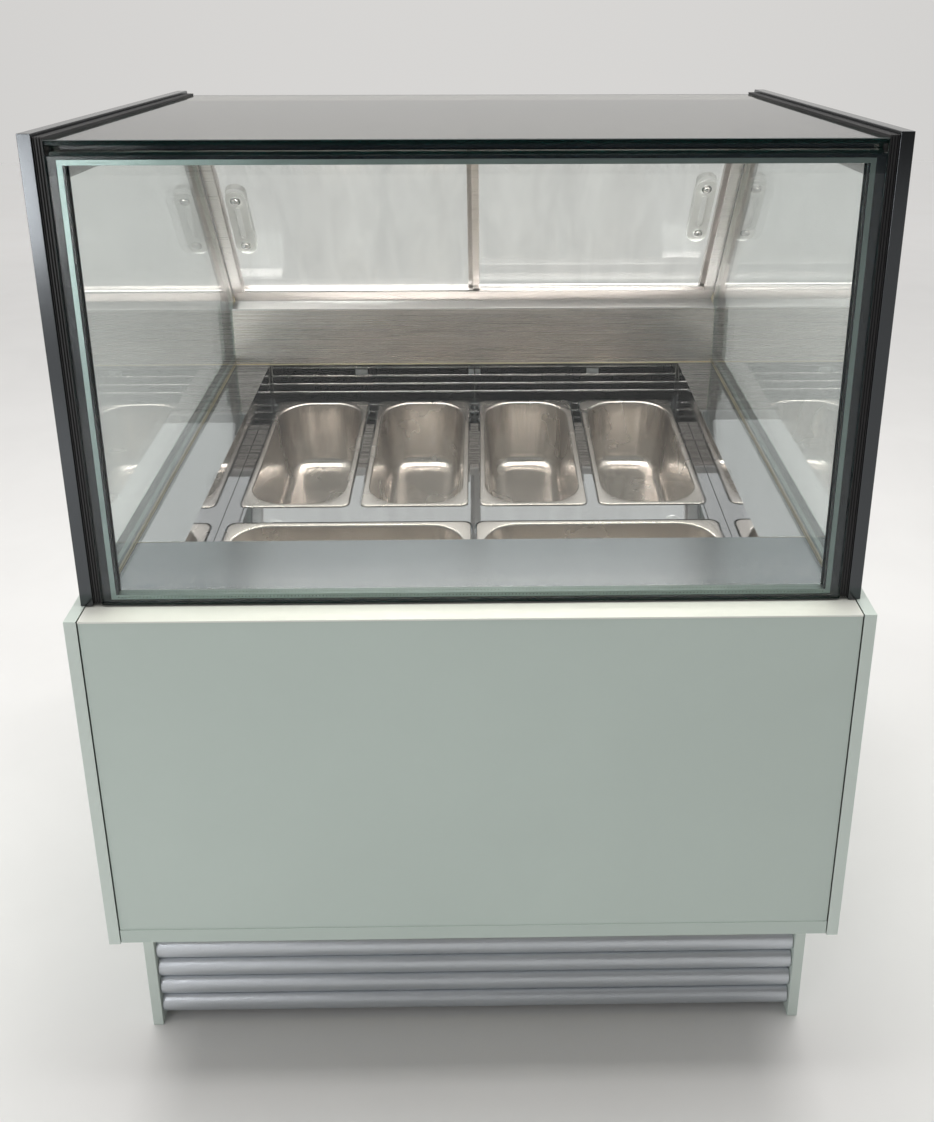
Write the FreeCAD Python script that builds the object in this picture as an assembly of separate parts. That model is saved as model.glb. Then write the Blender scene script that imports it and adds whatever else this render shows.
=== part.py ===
"""Glass-fronted scooping freezer for ice cream: one STEP file per sub-part, millimetres.

While pieces are made, X is across the cabinet, Y counts backwards from its front face and
Z counts up from the floor. save() then moves every piece to the row's origin, the middle
of the cabinet's footprint on the floor.
"""
import FreeCAD, Part
import math
import os

V = FreeCAD.Vector
os.makedirs("parts", exist_ok=True)

# ---- overall size -------------------------------------------------------------------
WIDTH = 956.0            # over the side panels
DEPTH = 900.0            # front face to rear face
HEIGHT = 1300.0          # floor to the top of the glasshouse rails
HALF = WIDTH / 2

# ---- cabinet ------------------------------------------------------------------------
SHEET = 1.2              # painted steel sheet
PANEL_T = 15.0           # folded depth of a side panel
BODY_BOTTOM = 260.0
BODY_FRONT_TOP = 742.0
RISE = 0.066             # the deck and the panel tops climb towards the back
DECK_STEP = 9.0          # the steel deck stands above the painted panels
REAR_STEP_Y = 801.0      # where the side panels step up to the door sill
REAR_TOP = 905.0
REAR_PANEL_Y = 888.0
INNER = HALF - PANEL_T   # inner face of a side panel

# ---- base ---------------------------------------------------------------------------
BASE_SETBACK = 101.0
PLINTH_X = 475.4
PLINTH_T = 15.0
SLAT_COUNT = 7
SLAT_PITCH = 33.5
SLAT_H = 31.0
SLAT_BULGE = 10.0
TRAY_Z = 14.0

# ---- glasshouse ---------------------------------------------------------------------
FRAME_X = 467.6          # outer face of an end frame
FRAME_T = 15.0
GLASS_Y = 31.0           # front face of the posts and of the front glass
POST_DEPTH = 45.0
RAIL_DROP = 57.0
SIDE_GLASS_X = 438.0     # inner face of the side glass
FRONT_GLASS_X = 442.0
PANE = 4.0
IGU = 14.0               # side glass unit, face to face
FRONT_IGU = 20.0
ROOF_TOP = 1293.0
ROOF_PANE = 6.0
ROOF_LOWER = 1276.5
ROOF_END = 650.0
SPACER_W = 6.0

# ---- inclined rear doors ------------------------------------------------------------
DOOR_LEAN = math.atan(0.6275)    # from vertical
DOOR_FOOT_Y = 802.4              # the door plane's front face meets REAR_TOP here
DOOR_T = 12.0
DOOR_STILE = 12.0
INNER_DOOR_N = 8.0               # distance of each door behind the front face
OUTER_DOOR_N = 34.0
DOOR_LENGTH = 412.0
INNER_DOOR_U = 12.0
OUTER_DOOR_U = -4.0
DOOR_OUT_X = 431.0
DOOR_OVERLAP = 10.0
HANDLE_X = 396.0
HANDLE_U = 195.0                 # middle of the two fixing screws
HANDLE_SPAN = 102.0

# ---- well and pans ------------------------------------------------------------------
WELL_X = 376.7
WELL_FRONT = 160.0
BACK_WALL_Y = 771.0
WELL_FLOOR = 330.0
DUCT_BACK = 811.0
LINER = 1.0
PAN_LEAN = math.atan(0.104)
PAN_ROW_Y = 387.5                # front edge of the back row's rims
PAN_ROW_Z = 700.0
PAN_L = 360.0
PAN_W = 165.0
PAN_DEEP = 120.0
PAN_WALL = 0.8
PAN_RIM = 9.0                    # height of the rolled rim
NARROW_PITCH = 183.3
WIDE_X = 184.0
FRONT_ROW_S = -209.1             # front edge of the front row, along the pan slope
RIDGE_GAP = 2.2


# ---- small tools --------------------------------------------------------------------
def box(x0, x1, y0, y1, z0, z1):
    return Part.makeBox(x1 - x0, y1 - y0, z1 - z0, V(x0, y0, z0))


def prism_x(points, x0, x1):
    """Extrude a closed outline of (y, z) points from x0 to x1."""
    ring = [V(x0, y, z) for y, z in points]
    return Part.Face(Part.makePolygon(ring + [ring[0]])).extrude(V(x1 - x0, 0, 0))


def rod(x, y, z, radius, length, axis=(0, 0, 1)):
    return Part.makeCylinder(radius, length, V(x, y, z), V(*axis))


def fuse(shapes):
    whole = shapes[0]
    for shape in shapes[1:]:
        whole = whole.fuse(shape)
    return whole.removeSplitter()


def cut(shape, tools):
    for tool in tools:
        shape = shape.cut(tool)
    return shape


def sawn(shapes, axis, places):
    """Saw blocks through at each place along an axis, as touching separate solids."""
    far = 2 * HEIGHT
    ends = [-far, *places, far]
    pieces = []
    for shape in shapes:
        for low, high in zip(ends, ends[1:]):
            limits = {"x": (-far, far), "y": (-far, far), "z": (-far, far), axis: (low, high)}
            slab = box(*limits["x"], *limits["y"], *limits["z"])
            pieces += shape.common(slab).Solids
    return pieces


def sawn_round(shapes, holes):
    """Saw blocks along the sides of square cut-outs (x0, x1, z0, z1), leaving plain pieces."""
    pieces = []
    for column in sawn(shapes, "x", sorted(x for hole in holes for x in hole[:2])):
        middle = column.BoundBox.Center.x
        levels = [z for x0, x1, z0, z1 in holes if x0 < middle < x1 for z in (z0, z1)]
        pieces += sawn([column], "z", levels)
    return pieces


def mirror_x(shape):
    return shape.mirror(V(0, 0, 0), V(1, 0, 0))


def save(name, shapes):
    """Write one sub-part; a list of solids stays a group of separate solids."""
    group = shapes if isinstance(shapes, list) else [shapes]
    solids = [solid for shape in group for solid in shape.Solids]
    whole = solids[0] if len(solids) == 1 else Part.Compound(solids)
    whole = whole.copy()
    whole.translate(V(0, -DEPTH / 2, 0))
    whole.exportStep("parts/" + name + ".step")


def save_pair(name, shape):
    """Write the left-hand piece and its mirror image for the right-hand side."""
    save("left_" + name, mirror_x(shape))
    save("right_" + name, shape)


def panel_top(y):
    return BODY_FRONT_TOP + RISE * y


def deck_top(y):
    return panel_top(y) + DECK_STEP


def door_line(z):
    """Depth at which the doors' front face reaches height z."""
    return DOOR_FOOT_Y - (z - REAR_TOP) * math.tan(DOOR_LEAN)


def lay_on_door(shape):
    """Place a piece drawn as (x, n, u), with n through the door and u up its slope."""
    shape.rotate(V(0, 0, 0), V(1, 0, 0), math.degrees(DOOR_LEAN))
    shape.translate(V(0, DOOR_FOOT_Y, REAR_TOP))
    return shape


def lay_on_pan_plane(shape):
    """Place a piece drawn as (x, s, h), with s up the pans' slope and h above their rims."""
    shape.rotate(V(0, 0, 0), V(1, 0, 0), math.degrees(PAN_LEAN))
    shape.translate(V(0, PAN_ROW_Y, PAN_ROW_Z))
    return shape


def rounded_wire(cx, cy, size_x, size_y, radius, z):
    x0, x1 = cx - size_x / 2, cx + size_x / 2
    y0, y1 = cy - size_y / 2, cy + size_y / 2
    k = radius * (1 - math.sqrt(0.5))
    edges = []
    corners = [
        (V(x1 - radius, y0, z), V(x1 - k, y0 + k, z), V(x1, y0 + radius, z)),
        (V(x1, y1 - radius, z), V(x1 - k, y1 - k, z), V(x1 - radius, y1, z)),
        (V(x0 + radius, y1, z), V(x0 + k, y1 - k, z), V(x0, y1 - radius, z)),
        (V(x0, y0 + radius, z), V(x0 + k, y0 + k, z), V(x0 + radius, y0, z)),
    ]
    for i, (start, middle, end) in enumerate(corners):
        edges.append(Part.Arc(start, middle, end).toShape())
        following = corners[(i + 1) % 4][0]
        if (following - end).Length > 1e-6:
            edges.append(Part.makeLine(end, following))
    return Part.Wire(edges)


def rounded_block(cx, cy, size_x, size_y, radius, z0, z1):
    face = Part.Face(rounded_wire(cx, cy, size_x, size_y, radius, z0))
    return face.extrude(V(0, 0, z1 - z0))


def tube(points, radius, bend):
    """A pipe along straight runs, with a round bend of that centreline radius at each corner."""
    corners = [V(*p) for p in points]
    start = corners[0]
    edges = []
    for before, corner, after in zip(corners, corners[1:], corners[2:]):
        back = (before - corner).normalize()
        onward = (after - corner).normalize()
        half = back.getAngle(onward) / 2
        inward = (back + onward).normalize()
        reach = bend / math.tan(half)
        centre = corner + inward * (bend / math.sin(half))
        edges.append(Part.makeLine(start, corner + back * reach))
        arc = Part.Arc(corner + back * reach, centre - inward * bend, corner + onward * reach)
        edges.append(arc.toShape())
        start = corner + onward * reach
    edges.append(Part.makeLine(start, corners[-1]))
    ring = Part.Wire(Part.makeCircle(radius, corners[0], corners[1] - corners[0]))
    return Part.Wire(edges).makePipeShell([ring], True, True)


# ---- painted cabinet ----------------------------------------------------------------
def side_panel():
    """Right-hand folded tray: a flat outer skin with returned edges, open to the foam."""
    outline = [
        (0, BODY_BOTTOM), (DEPTH, BODY_BOTTOM), (DEPTH, REAR_TOP), (REAR_STEP_Y, REAR_TOP),
        (REAR_STEP_Y, panel_top(REAR_STEP_Y)), (0, BODY_FRONT_TOP),
    ]
    inset = SHEET
    hollow = [
        (inset, BODY_BOTTOM + inset), (DEPTH - inset, BODY_BOTTOM + inset),
        (DEPTH - inset, REAR_TOP - inset), (REAR_STEP_Y + inset, REAR_TOP - inset),
        (REAR_STEP_Y + inset, panel_top(REAR_STEP_Y) - inset), (inset, BODY_FRONT_TOP - inset),
    ]
    return prism_x(outline, INNER, HALF).cut(prism_x(hollow, INNER - 1, HALF - SHEET))


def front_panel():
    """Front skin with a doubled hem strip along its bottom edge."""
    edge = INNER - 1.0
    skin = box(-edge, edge, 2.0, 2.0 + SHEET, BODY_BOTTOM + 2, BODY_FRONT_TOP - 2.6)
    hem = box(-edge, edge, 0.8, 2.0, BODY_BOTTOM + 2, BODY_BOTTOM + 22)
    foot = box(-edge, edge, 2.0, 40.0, BODY_BOTTOM + 2, BODY_BOTTOM + 2 + SHEET)
    return fuse([skin, hem, foot])


def front_ledge():
    """Sloping cap over the front panel, turned down at its front edge."""
    edge = INNER - 1.0
    drop = 1.0
    cap = [
        (1.0, panel_top(1) - drop - 2.2), (1.0, panel_top(1) - drop),
        (GLASS_Y + FRONT_IGU + 4, panel_top(GLASS_Y + FRONT_IGU + 4) - drop),
        (GLASS_Y + FRONT_IGU + 4, panel_top(GLASS_Y + FRONT_IGU + 4) - drop - SHEET),
        (2.0, panel_top(2) - drop - SHEET), (2.0, panel_top(2) - drop - 2.2),
    ]
    return prism_x(cap, -edge, edge)


REAR_X = PLINTH_X - PLINTH_T - 0.4
VENT_W = 62.0
VENT_H = 6.0
VENT_COLUMNS = 8
VENT_ROWS = 10
VENT_PITCH_X = 78.0
VENT_PITCH_Z = 17.0
VENT_Z = 52.0
CONTROL_X = -300.0       # middle of the control panel, at the operator's right hand
CONTROL_Z = 330.0
CONTROL_W = 236.0
CONTROL_H = 74.0
INLET_X = 395.0
INLET_Z = 300.0


PANEL_SEAM_Z = 240.0     # the slotted lower sheet ends here
CONTROL_HOLE = (CONTROL_X - CONTROL_W / 2 + 6, CONTROL_X + CONTROL_W / 2 - 6,
                CONTROL_Z - CONTROL_H / 2 + 6, CONTROL_Z + CONTROL_H / 2 - 6)
INLET_HOLE = (INLET_X - 14, INLET_X + 14, INLET_Z - 11, INLET_Z + 11)


def rear_panel():
    """Slotted lower sheet, and an upper sheet made in strips around its two cut-outs."""
    y0, y1 = REAR_PANEL_Y, REAR_PANEL_Y + SHEET
    slots = []
    for column in range(VENT_COLUMNS):
        for row in range(VENT_ROWS):
            x = (column - (VENT_COLUMNS - 1) / 2) * VENT_PITCH_X
            z = VENT_Z + row * VENT_PITCH_Z
            slots.append(box(x - VENT_W / 2, x + VENT_W / 2, y0 - 1, y1 + 1, z, z + VENT_H))
    lower = box(-REAR_X, REAR_X, y0, y1, 12, PANEL_SEAM_Z).cut(Part.Compound(slots))
    upper = box(-REAR_X, REAR_X, y0, y1, PANEL_SEAM_Z + 1, REAR_TOP - 3)
    for x0, x1, z0, z1 in (CONTROL_HOLE, INLET_HOLE):
        upper = upper.cut(box(x0, x1, y0 - 1, y1 + 1, z0, z1))
    plain, strips = sawn([upper], "z", [CONTROL_HOLE[3]])[::-1]
    return [lower, plain] + sawn_round([strips], [CONTROL_HOLE, INLET_HOLE])


# ---- base ---------------------------------------------------------------------------
def plinth():
    return box(PLINTH_X - PLINTH_T, PLINTH_X, BASE_SETBACK, DEPTH - 2, 0, BODY_BOTTOM)


def louvres():
    """Bowed slats across the front of the machine space."""
    span = PLINTH_X - PLINTH_T - 3.0
    y0 = BASE_SETBACK + 4
    slats = []
    for k in range(SLAT_COUNT):
        z = 15.0 + k * SLAT_PITCH
        back = y0 + SLAT_BULGE
        outer = Part.Arc(V(-span, back, z), V(-span, y0, z + SLAT_H / 2),
                         V(-span, back, z + SLAT_H)).toShape()
        inner = Part.Arc(V(-span, back + 1.5, z + SLAT_H), V(-span, y0 + 1.5, z + SLAT_H / 2),
                         V(-span, back + 1.5, z)).toShape()
        top = Part.makeLine(V(-span, back, z + SLAT_H), V(-span, back + 1.5, z + SLAT_H))
        low = Part.makeLine(V(-span, back + 1.5, z), V(-span, back, z))
        slats.append(Part.Face(Part.Wire([outer, top, inner, low])).extrude(V(2 * span, 0, 0)))
    return slats


def louvre_brackets():
    """Upright strips behind the slat ends, one at each plinth and one in the middle."""
    y0 = BASE_SETBACK + 4 + SLAT_BULGE + 1.5
    strips = []
    for x in (-REAR_X + 8.5, 0.0, REAR_X - 8.5):
        strips.append(box(x - 8, x + 8, y0, y0 + 2, TRAY_Z + 0.2, BODY_BOTTOM - 4))
    return strips


def base_tray():
    """Floor tray of the machine space with turned-up edges."""
    outer = box(-REAR_X, REAR_X, 125, REAR_PANEL_Y - 1, TRAY_Z, TRAY_Z + 26)
    return outer.cut(box(-REAR_X + 2, REAR_X - 2, 127, REAR_PANEL_Y - 3, TRAY_Z + 2, TRAY_Z + 30))


def levelling_feet():
    feet = []
    for x in (-415.0, 415.0):
        for y in (165.0, 845.0):
            pad = rod(x, y, 0, 21, 7).fuse(Part.makeCone(21, 9, 4, V(x, y, 7)))
            feet.append(fuse([pad, rod(x, y, 0, 5, TRAY_Z)]))
    return feet


# ---- insulated tub and steel well ---------------------------------------------------
FOAM_CONTROL_HOLE = (CONTROL_X - CONTROL_W / 2 + 4, CONTROL_X + CONTROL_W / 2 - 4,
                     CONTROL_Z - CONTROL_H / 2 + 4, CONTROL_Z + CONTROL_H / 2 - 4)
FOAM_INLET_HOLE = (INLET_X - 16, INLET_X + 16, INLET_Z - 13, INLET_Z + 13)


def foam_tub():
    """Rigid foam boards that fill the cabinet around the well and its air duct."""
    top = DECK_STEP - LINER - 0.5
    wide = [
        (4.0, BODY_BOTTOM + 4), (REAR_PANEL_Y, BODY_BOTTOM + 4), (REAR_PANEL_Y, REAR_TOP - 2),
        (REAR_STEP_Y + 0.5, REAR_TOP - 2), (REAR_STEP_Y + 0.5, panel_top(REAR_STEP_Y) - 0.4),
        (4.0, panel_top(4) - 2.4),
    ]
    raised = [
        (55.5, panel_top(55.5) - 3), (55.5, panel_top(55.5) + top),
        (BACK_WALL_Y + 1.2, panel_top(BACK_WALL_Y) + top), (BACK_WALL_Y + 1.2, REAR_TOP - 2),
        (REAR_PANEL_Y, REAR_TOP - 2), (REAR_PANEL_Y, panel_top(55.5) - 3),
    ]
    whole = prism_x(wide, -INNER + 0.5, INNER - 0.5)
    whole = whole.fuse(prism_x(raised, -SIDE_GLASS_X + 0.5, SIDE_GLASS_X - 0.5))
    pocket = well_prism(LINER)
    x0, x1, z0, z1 = FOAM_CONTROL_HOLE
    controls = box(x0, x1, REAR_PANEL_Y - 40, REAR_PANEL_Y + 1, z0, z1)
    x0, x1, z0, z1 = FOAM_INLET_HOLE
    inlet = box(x0, x1, REAR_PANEL_Y - 32, REAR_PANEL_Y + 1, z0, z1)
    drain = rod(0, 240, BODY_BOTTOM, 11, WELL_FLOOR - BODY_BOTTOM)
    lines = rod(250, 600, BODY_BOTTOM, 14, WELL_FLOOR - BODY_BOTTOM)
    foam = cut(whole, [pocket, controls, inlet, drain, lines]).removeSplitter()
    duct_front, duct_back = BACK_WALL_Y + 1.2, DUCT_BACK + LINER
    boards = sawn([foam], "y", (WELL_FRONT - LINER, duct_front, duct_back))
    behind = [board for board in boards if board.BoundBox.YMin > duct_back - 1]
    around = [board for board in boards if board.BoundBox.YMin < duct_back - 1]
    around = sawn(sawn(around, "z", [WELL_FLOOR - LINER]), "x", (-WELL_X - LINER, WELL_X + LINER))
    behind = sawn_round(behind, [FOAM_CONTROL_HOLE, FOAM_INLET_HOLE])
    return around + behind


def well_prism(grow):
    """The well and the air duct behind it, open at the deck; grow makes it larger."""
    lip = 2 * LINER + 0.5
    outline = [
        (WELL_FRONT - grow, WELL_FLOOR - grow), (DUCT_BACK + grow, WELL_FLOOR - grow),
        (DUCT_BACK + grow, panel_top(BACK_WALL_Y) + DECK_STEP - lip + grow),
        (BACK_WALL_Y - lip, panel_top(BACK_WALL_Y) + DECK_STEP - lip + grow),
        (BACK_WALL_Y - lip, REAR_TOP), (WELL_FRONT - grow, REAR_TOP),
    ]
    return prism_x(outline, -WELL_X - grow, WELL_X + grow)


def well_liner():
    """Stainless liner in flat plates: well walls, floor and the duct behind the back wall."""
    lid = prism_x([(0, deck_top(0) - LINER - 0.2), (0, HEIGHT), (BACK_WALL_Y + 1, HEIGHT),
                   (BACK_WALL_Y + 1, deck_top(BACK_WALL_Y + 1) - LINER - 0.2)], -HALF, HALF)
    shell = well_prism(LINER - 0.05).cut(well_prism(0)).cut(lid)
    holes = [rod(0, 240, WELL_FLOOR - 5, 9, 10), rod(250, 600, WELL_FLOOR - 5, 12, 10)]
    plates = sawn([cut(shell, holes)], "z", [WELL_FLOOR])
    plates = sawn(plates, "x", (-WELL_X, WELL_X))
    return sawn(plates, "y", (WELL_FRONT, DUCT_BACK))


def deck_strip():
    """Right-hand polished strip between the well and the side glass."""
    y0, y1 = WELL_FRONT + 1.4, BACK_WALL_Y - 2.8
    edge = [(y0, deck_top(y0)), (y1, deck_top(y1))]
    top = prism_x(edge + [(y, z - LINER) for y, z in reversed(edge)], WELL_X - LINER,
                  SIDE_GLASS_X - 0.3)
    lip = prism_x(edge + [(y, z - 12) for y, z in reversed(edge)], WELL_X - LINER, WELL_X - 0.05)
    return fuse([top, lip])


def front_apron():
    """Sloping steel plate between the front glass and the well."""
    y0, y1 = GLASS_Y + FRONT_IGU + 0.4, WELL_FRONT + 0.05
    wide = SIDE_GLASS_X - 0.3
    plate = prism_x([(y0, deck_top(y0)), (y1, deck_top(y1)), (y1, deck_top(y1) - LINER),
                     (y0, deck_top(y0) - LINER)], -wide, wide)
    lip = prism_x([(y1, deck_top(y1)), (y1 + LINER, deck_top(y1)), (y1 + LINER,
                   deck_top(y1) - 14), (y1, deck_top(y1) - 14)], -WELL_X + 1.2, WELL_X - 1.2)
    return fuse([plate, lip])


def back_wall():
    wide = SIDE_GLASS_X - 0.3
    return box(-wide, wide, BACK_WALL_Y, BACK_WALL_Y + LINER,
               deck_top(BACK_WALL_Y) + 0.2, REAR_TOP - 1.5)


def vent_grille():
    """Bright rods across the cold-air slot, carried by two end plates."""
    rods = [rod(-WELL_X + 3, BACK_WALL_Y + 6, z, 2.5, 2 * WELL_X - 6, (1, 0, 0))
            for z in (793.0, 776.0, 760.0, 744.0, 728.0)]
    ends = [box(x - 1.2, x + 1.2, BACK_WALL_Y + 1, BACK_WALL_Y + 12, 716, 799)
            for x in (-WELL_X + 3, WELL_X - 3, 0)]
    return fuse(rods + ends)


def support_rails():
    """Angles on the well walls that carry the pan support."""
    rails = []
    for x0, x1, xs in ((-WELL_X, -WELL_X + LINER, -WELL_X + 16), (WELL_X - LINER, WELL_X,
                                                                    WELL_X - 16)):
        upright = Part.makeBox(x1 - x0, 590, 22, V(x0, -224, -35))
        shelf = Part.makeBox(abs(xs - x0), 590, LINER, V(min(xs, x0), -224, -13.2))
        rails.append(lay_on_pan_plane(fuse([upright, shelf])))
    return rails


def pan_places():
    """(x, front s, size across, size along the slope) of the pans, in the pan plane."""
    back = [((k - 1.5) * NARROW_PITCH, 0.0, PAN_W, PAN_L) for k in range(4)]
    front = [(side * WIDE_X, FRONT_ROW_S, PAN_L, PAN_W) for side in (-1, 1)]
    return back + front


def pan_support():
    """One polished frame: flanges under the rims and ridges that fill between them."""
    s0, s1 = -226.0, 374.0
    flange_top = -PAN_RIM - 0.3
    plate = Part.makeBox(2 * WELL_X - 1.2, s1 - s0, 2.6, V(-WELL_X + 0.6, s0, flange_top - 2.6))
    ridges = Part.makeBox(2 * WELL_X - 1.2, s1 - s0, -flange_top - 1.2,
                          V(-WELL_X + 0.6, s0, flange_top))
    under = 7.0
    for x, s, across, along in pan_places():
        hole = rounded_block(x, s + along / 2, across - 2 * under, along - 2 * under, 48,
                             flange_top - 5, 5)
        seat = rounded_block(x, s + along / 2, across + 2 * RIDGE_GAP, along + 2 * RIDGE_GAP,
                             14, flange_top, 5)
        plate = plate.cut(hole)
        ridges = ridges.cut(seat)
    return lay_on_pan_plane(plate.fuse(ridges).removeSplitter())


def pan(x, s, across, along):
    """Deep stainless pan with a rolled rim, round corners and a soft floor edge."""
    middle = s + along / 2
    mouth = 10.0
    taper = 9.0

    def cavity(grow, depth, floor_radius):
        top = rounded_wire(x, middle, across - 2 * mouth + 2 * grow,
                           along - 2 * mouth + 2 * grow, 52 + grow, 0)
        low = rounded_wire(x, middle, across - 2 * mouth - 2 * taper + 2 * grow,
                           along - 2 * mouth - 2 * taper + 2 * grow, 46 + grow, -depth)
        body = Part.makeLoft([top, low], True)
        floor = [edge for edge in body.Edges
                 if all(abs(vertex.Z + depth) < 1e-3 for vertex in edge.Vertexes)]
        return body.makeFillet(floor_radius, floor)

    outer = cavity(PAN_WALL, PAN_DEEP, 20.0 + PAN_WALL)
    rim = rounded_block(x, middle, across, along, 12, -PAN_RIM, 0)
    rim_hollow = rounded_block(x, middle, across - 2 * PAN_WALL, along - 2 * PAN_WALL, 11.2,
                               -PAN_RIM - 1, -PAN_WALL)
    rim = rim.cut(rim_hollow)
    bare = outer.fuse(rim)
    inner = cavity(0.0, PAN_DEEP - PAN_WALL, 20.0)
    mouth_cut = rounded_block(x, middle, across - 2 * mouth, along - 2 * mouth, 52, -0.02, 2)
    return lay_on_pan_plane(bare.cut(inner).cut(mouth_cut))


# ---- cold and machine pieces --------------------------------------------------------
def finned_coil(x0, x1, y0, y1, z0, z1, columns, rows):
    """Finned block with return bends standing out of both ends."""
    pieces = [box(x0, x1, y0, y1, z0, z1)]
    for row in range(rows):
        z = z0 + (row + 0.5) * (z1 - z0) / rows
        for column in range(columns):
            y = y0 + (column + 0.5) * (y1 - y0) / columns
            pieces.append(rod(x0 - 12, y, z, 4.0, x1 - x0 + 24, (1, 0, 0)))
    for x in (x0 - 16, x1 + 12):
        for row in range(rows):
            z = z0 + (row + 0.5) * (z1 - z0) / rows
            pieces.append(box(x, x + 4, y0 + 5, y1 - 5, z - 4, z + 4))
    return fuse(pieces)


COIL_X = 285.0
COIL_Y0, COIL_Y1 = 300.0, 470.0
COIL_Z0, COIL_Z1 = 352.0, 462.0
EVAP_FAN_Y = 520.0
EVAP_FAN_Z = 410.0
EVAP_FAN_X = 150.0
EVAP_BLADE_R = 58.0
COND_FAN_Y = 240.0
COND_FAN_Z = 138.0
COND_BLADE_R = 86.0
SUCTION_X = 322.0
SUCTION_Z = 340.0
SHAFT_R = 4.0
SHAFT_PLAY = 0.06


def fan_rotor(x, y, z, blade_radius, blades, shaft_length):
    """Hub, blades and shaft on a Y axis; the blades lie ahead of y, the shaft behind."""
    hub_r = 0.30 * blade_radius
    pieces = [rod(x, y - 22, z, hub_r, 22, (0, 1, 0)),
              rod(x, y - 2, z, SHAFT_R, shaft_length, (0, 1, 0))]
    for k in range(blades):
        blade = Part.makeBox(blade_radius - hub_r + 3, 2.0, 0.52 * blade_radius,
                             V(hub_r - 3, -1, -0.26 * blade_radius))
        blade.rotate(V(0, 0, 0), V(1, 0, 0), 32)
        blade = blade.common(rod(0, -30, 0, blade_radius, 60, (0, 1, 0)))
        blade.rotate(V(0, 0, 0), V(0, 1, 0), 360.0 * k / blades)
        blade.translate(V(x, y - 11, z))
        pieces.append(blade)
    return fuse(pieces)


def fan_motor(x, y, z, radius, length, arm):
    """Motor can with a blind shaft bearing and a mounting bar."""
    body = rod(x, y, z, radius, length, (0, 1, 0))
    bar = box(x - arm, x + arm, y + length - 8, y + length - 5, z - 9, z + 9)
    bearing = rod(x, y - 1, z, SHAFT_R + SHAFT_PLAY, length - 11, (0, 1, 0))
    return cut(body.fuse(bar), [bearing])


def compressor():
    """Hermetic shell with its foot plate, standing in the base tray."""
    x, y, z = 250.0, 560.0, TRAY_Z + 12
    shell = rod(x, y, z + 30, 78, 90)
    dome = Part.makeSphere(98, V(x, y, z + 60))
    dome = dome.common(rod(x, y, z + 60, 78, 100))
    low = Part.makeSphere(98, V(x, y, z + 92)).common(rod(x, y, z - 10, 78, 102))
    plate = box(x - 95, x + 95, y - 70, y + 70, z - 4, z)
    pads = [rod(x + a * 80, y + b * 55, TRAY_Z + 2, 9, 6) for a in (-1, 1) for b in (-1, 1)]
    start_box = box(x + 74, x + 100, y - 26, y + 26, z + 40, z + 96)
    skirt = rod(x, y, z - 4, 60, 20)
    return fuse([shell, dome, low, plate, start_box, skirt] + pads)


def condenser_shroud():
    plate = box(-195, 195, 208, 210, TRAY_Z + 4, 248)
    hole = rod(0, 200, COND_FAN_Z, COND_BLADE_R + 6, 20, (0, 1, 0))
    sides = [box(-195, -193, 196, 208, TRAY_Z + 4, 248), box(193, 195, 196, 208, TRAY_Z + 4, 248)]
    return fuse([plate.cut(hole)] + sides)


def motor_stand():
    """Bent strap that holds the condenser fan's motor off the tray."""
    y = COND_FAN_Y + 48
    upright = box(-40, 40, y, y + 3, TRAY_Z + 2, COND_FAN_Z - 9.5)
    foot = box(-40, 40, y, y + 40, TRAY_Z + 2, TRAY_Z + 5)
    return fuse([upright, foot])


def evaporator_fan_plate():
    z0 = WELL_FLOOR
    plate = box(-WELL_X + 1, WELL_X - 1, EVAP_FAN_Y - 12, EVAP_FAN_Y - 10.5, z0, 500)
    holes = [rod(x, EVAP_FAN_Y - 30, EVAP_FAN_Z, EVAP_BLADE_R + 4, 60, (0, 1, 0))
             for x in (-EVAP_FAN_X, EVAP_FAN_X)]
    foot = box(-WELL_X + 1, WELL_X - 1, EVAP_FAN_Y - 10.5, EVAP_FAN_Y + 8, z0, z0 + 1.5)
    holes.append(rod(SUCTION_X, EVAP_FAN_Y - 30, SUCTION_Z, 7, 60, (0, 1, 0)))
    return fuse([cut(plate, holes), foot])


def evaporator_fan_motors():
    """Two motors on legs that stand on the well floor."""
    motors = []
    for x in (-EVAP_FAN_X, EVAP_FAN_X):
        motor = fan_motor(x, EVAP_FAN_Y + 2, EVAP_FAN_Z, 26, 34, 30)
        legs = [box(x + a - 2, x + a + 2, EVAP_FAN_Y + 28, EVAP_FAN_Y + 31, WELL_FLOOR,
                    EVAP_FAN_Z + 9) for a in (-28, 28)]
        motors.append(fuse([motor] + legs))
    return motors


def refrigerant_pipes():
    """Discharge line to the condenser and suction line up into the well."""
    discharge = tube([(250, 470, 66), (250, 440, 66), (250, 440, 110), (228, 440, 110),
                      (228, 165, 110)], 4, 10)
    suction = tube([(250, 639, 90), (250, 668, 90), (250, 668, 244), (250, 606, 244),
                    (250, 606, SUCTION_Z), (250, 565, SUCTION_Z), (SUCTION_X, 565, SUCTION_Z),
                    (SUCTION_X, 385, SUCTION_Z), (SUCTION_X, 385, 407), (COIL_X + 16.4, 385, 407)], 5, 12)
    return [discharge, suction]


def filter_drier():
    core = rod(-250, 320, TRAY_Z + 26, 12, 110, (0, 1, 0))
    ends = [Part.makeCone(4, 12, 14, V(-250, 306, TRAY_Z + 26), V(0, 1, 0)),
            Part.makeCone(12, 4, 14, V(-250, 430, TRAY_Z + 26), V(0, 1, 0))]
    clip = box(-254, -246, 370, 380, TRAY_Z + 2, TRAY_Z + 15)
    return fuse([core, clip] + ends)


def drain_tray():
    """Melt-water tray under the drain."""
    outer = box(-180, 150, 420, 760, TRAY_Z + 2, TRAY_Z + 44)
    return outer.cut(box(-178.5, 148.5, 421.5, 758.5, TRAY_Z + 3.5, TRAY_Z + 50))


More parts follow.
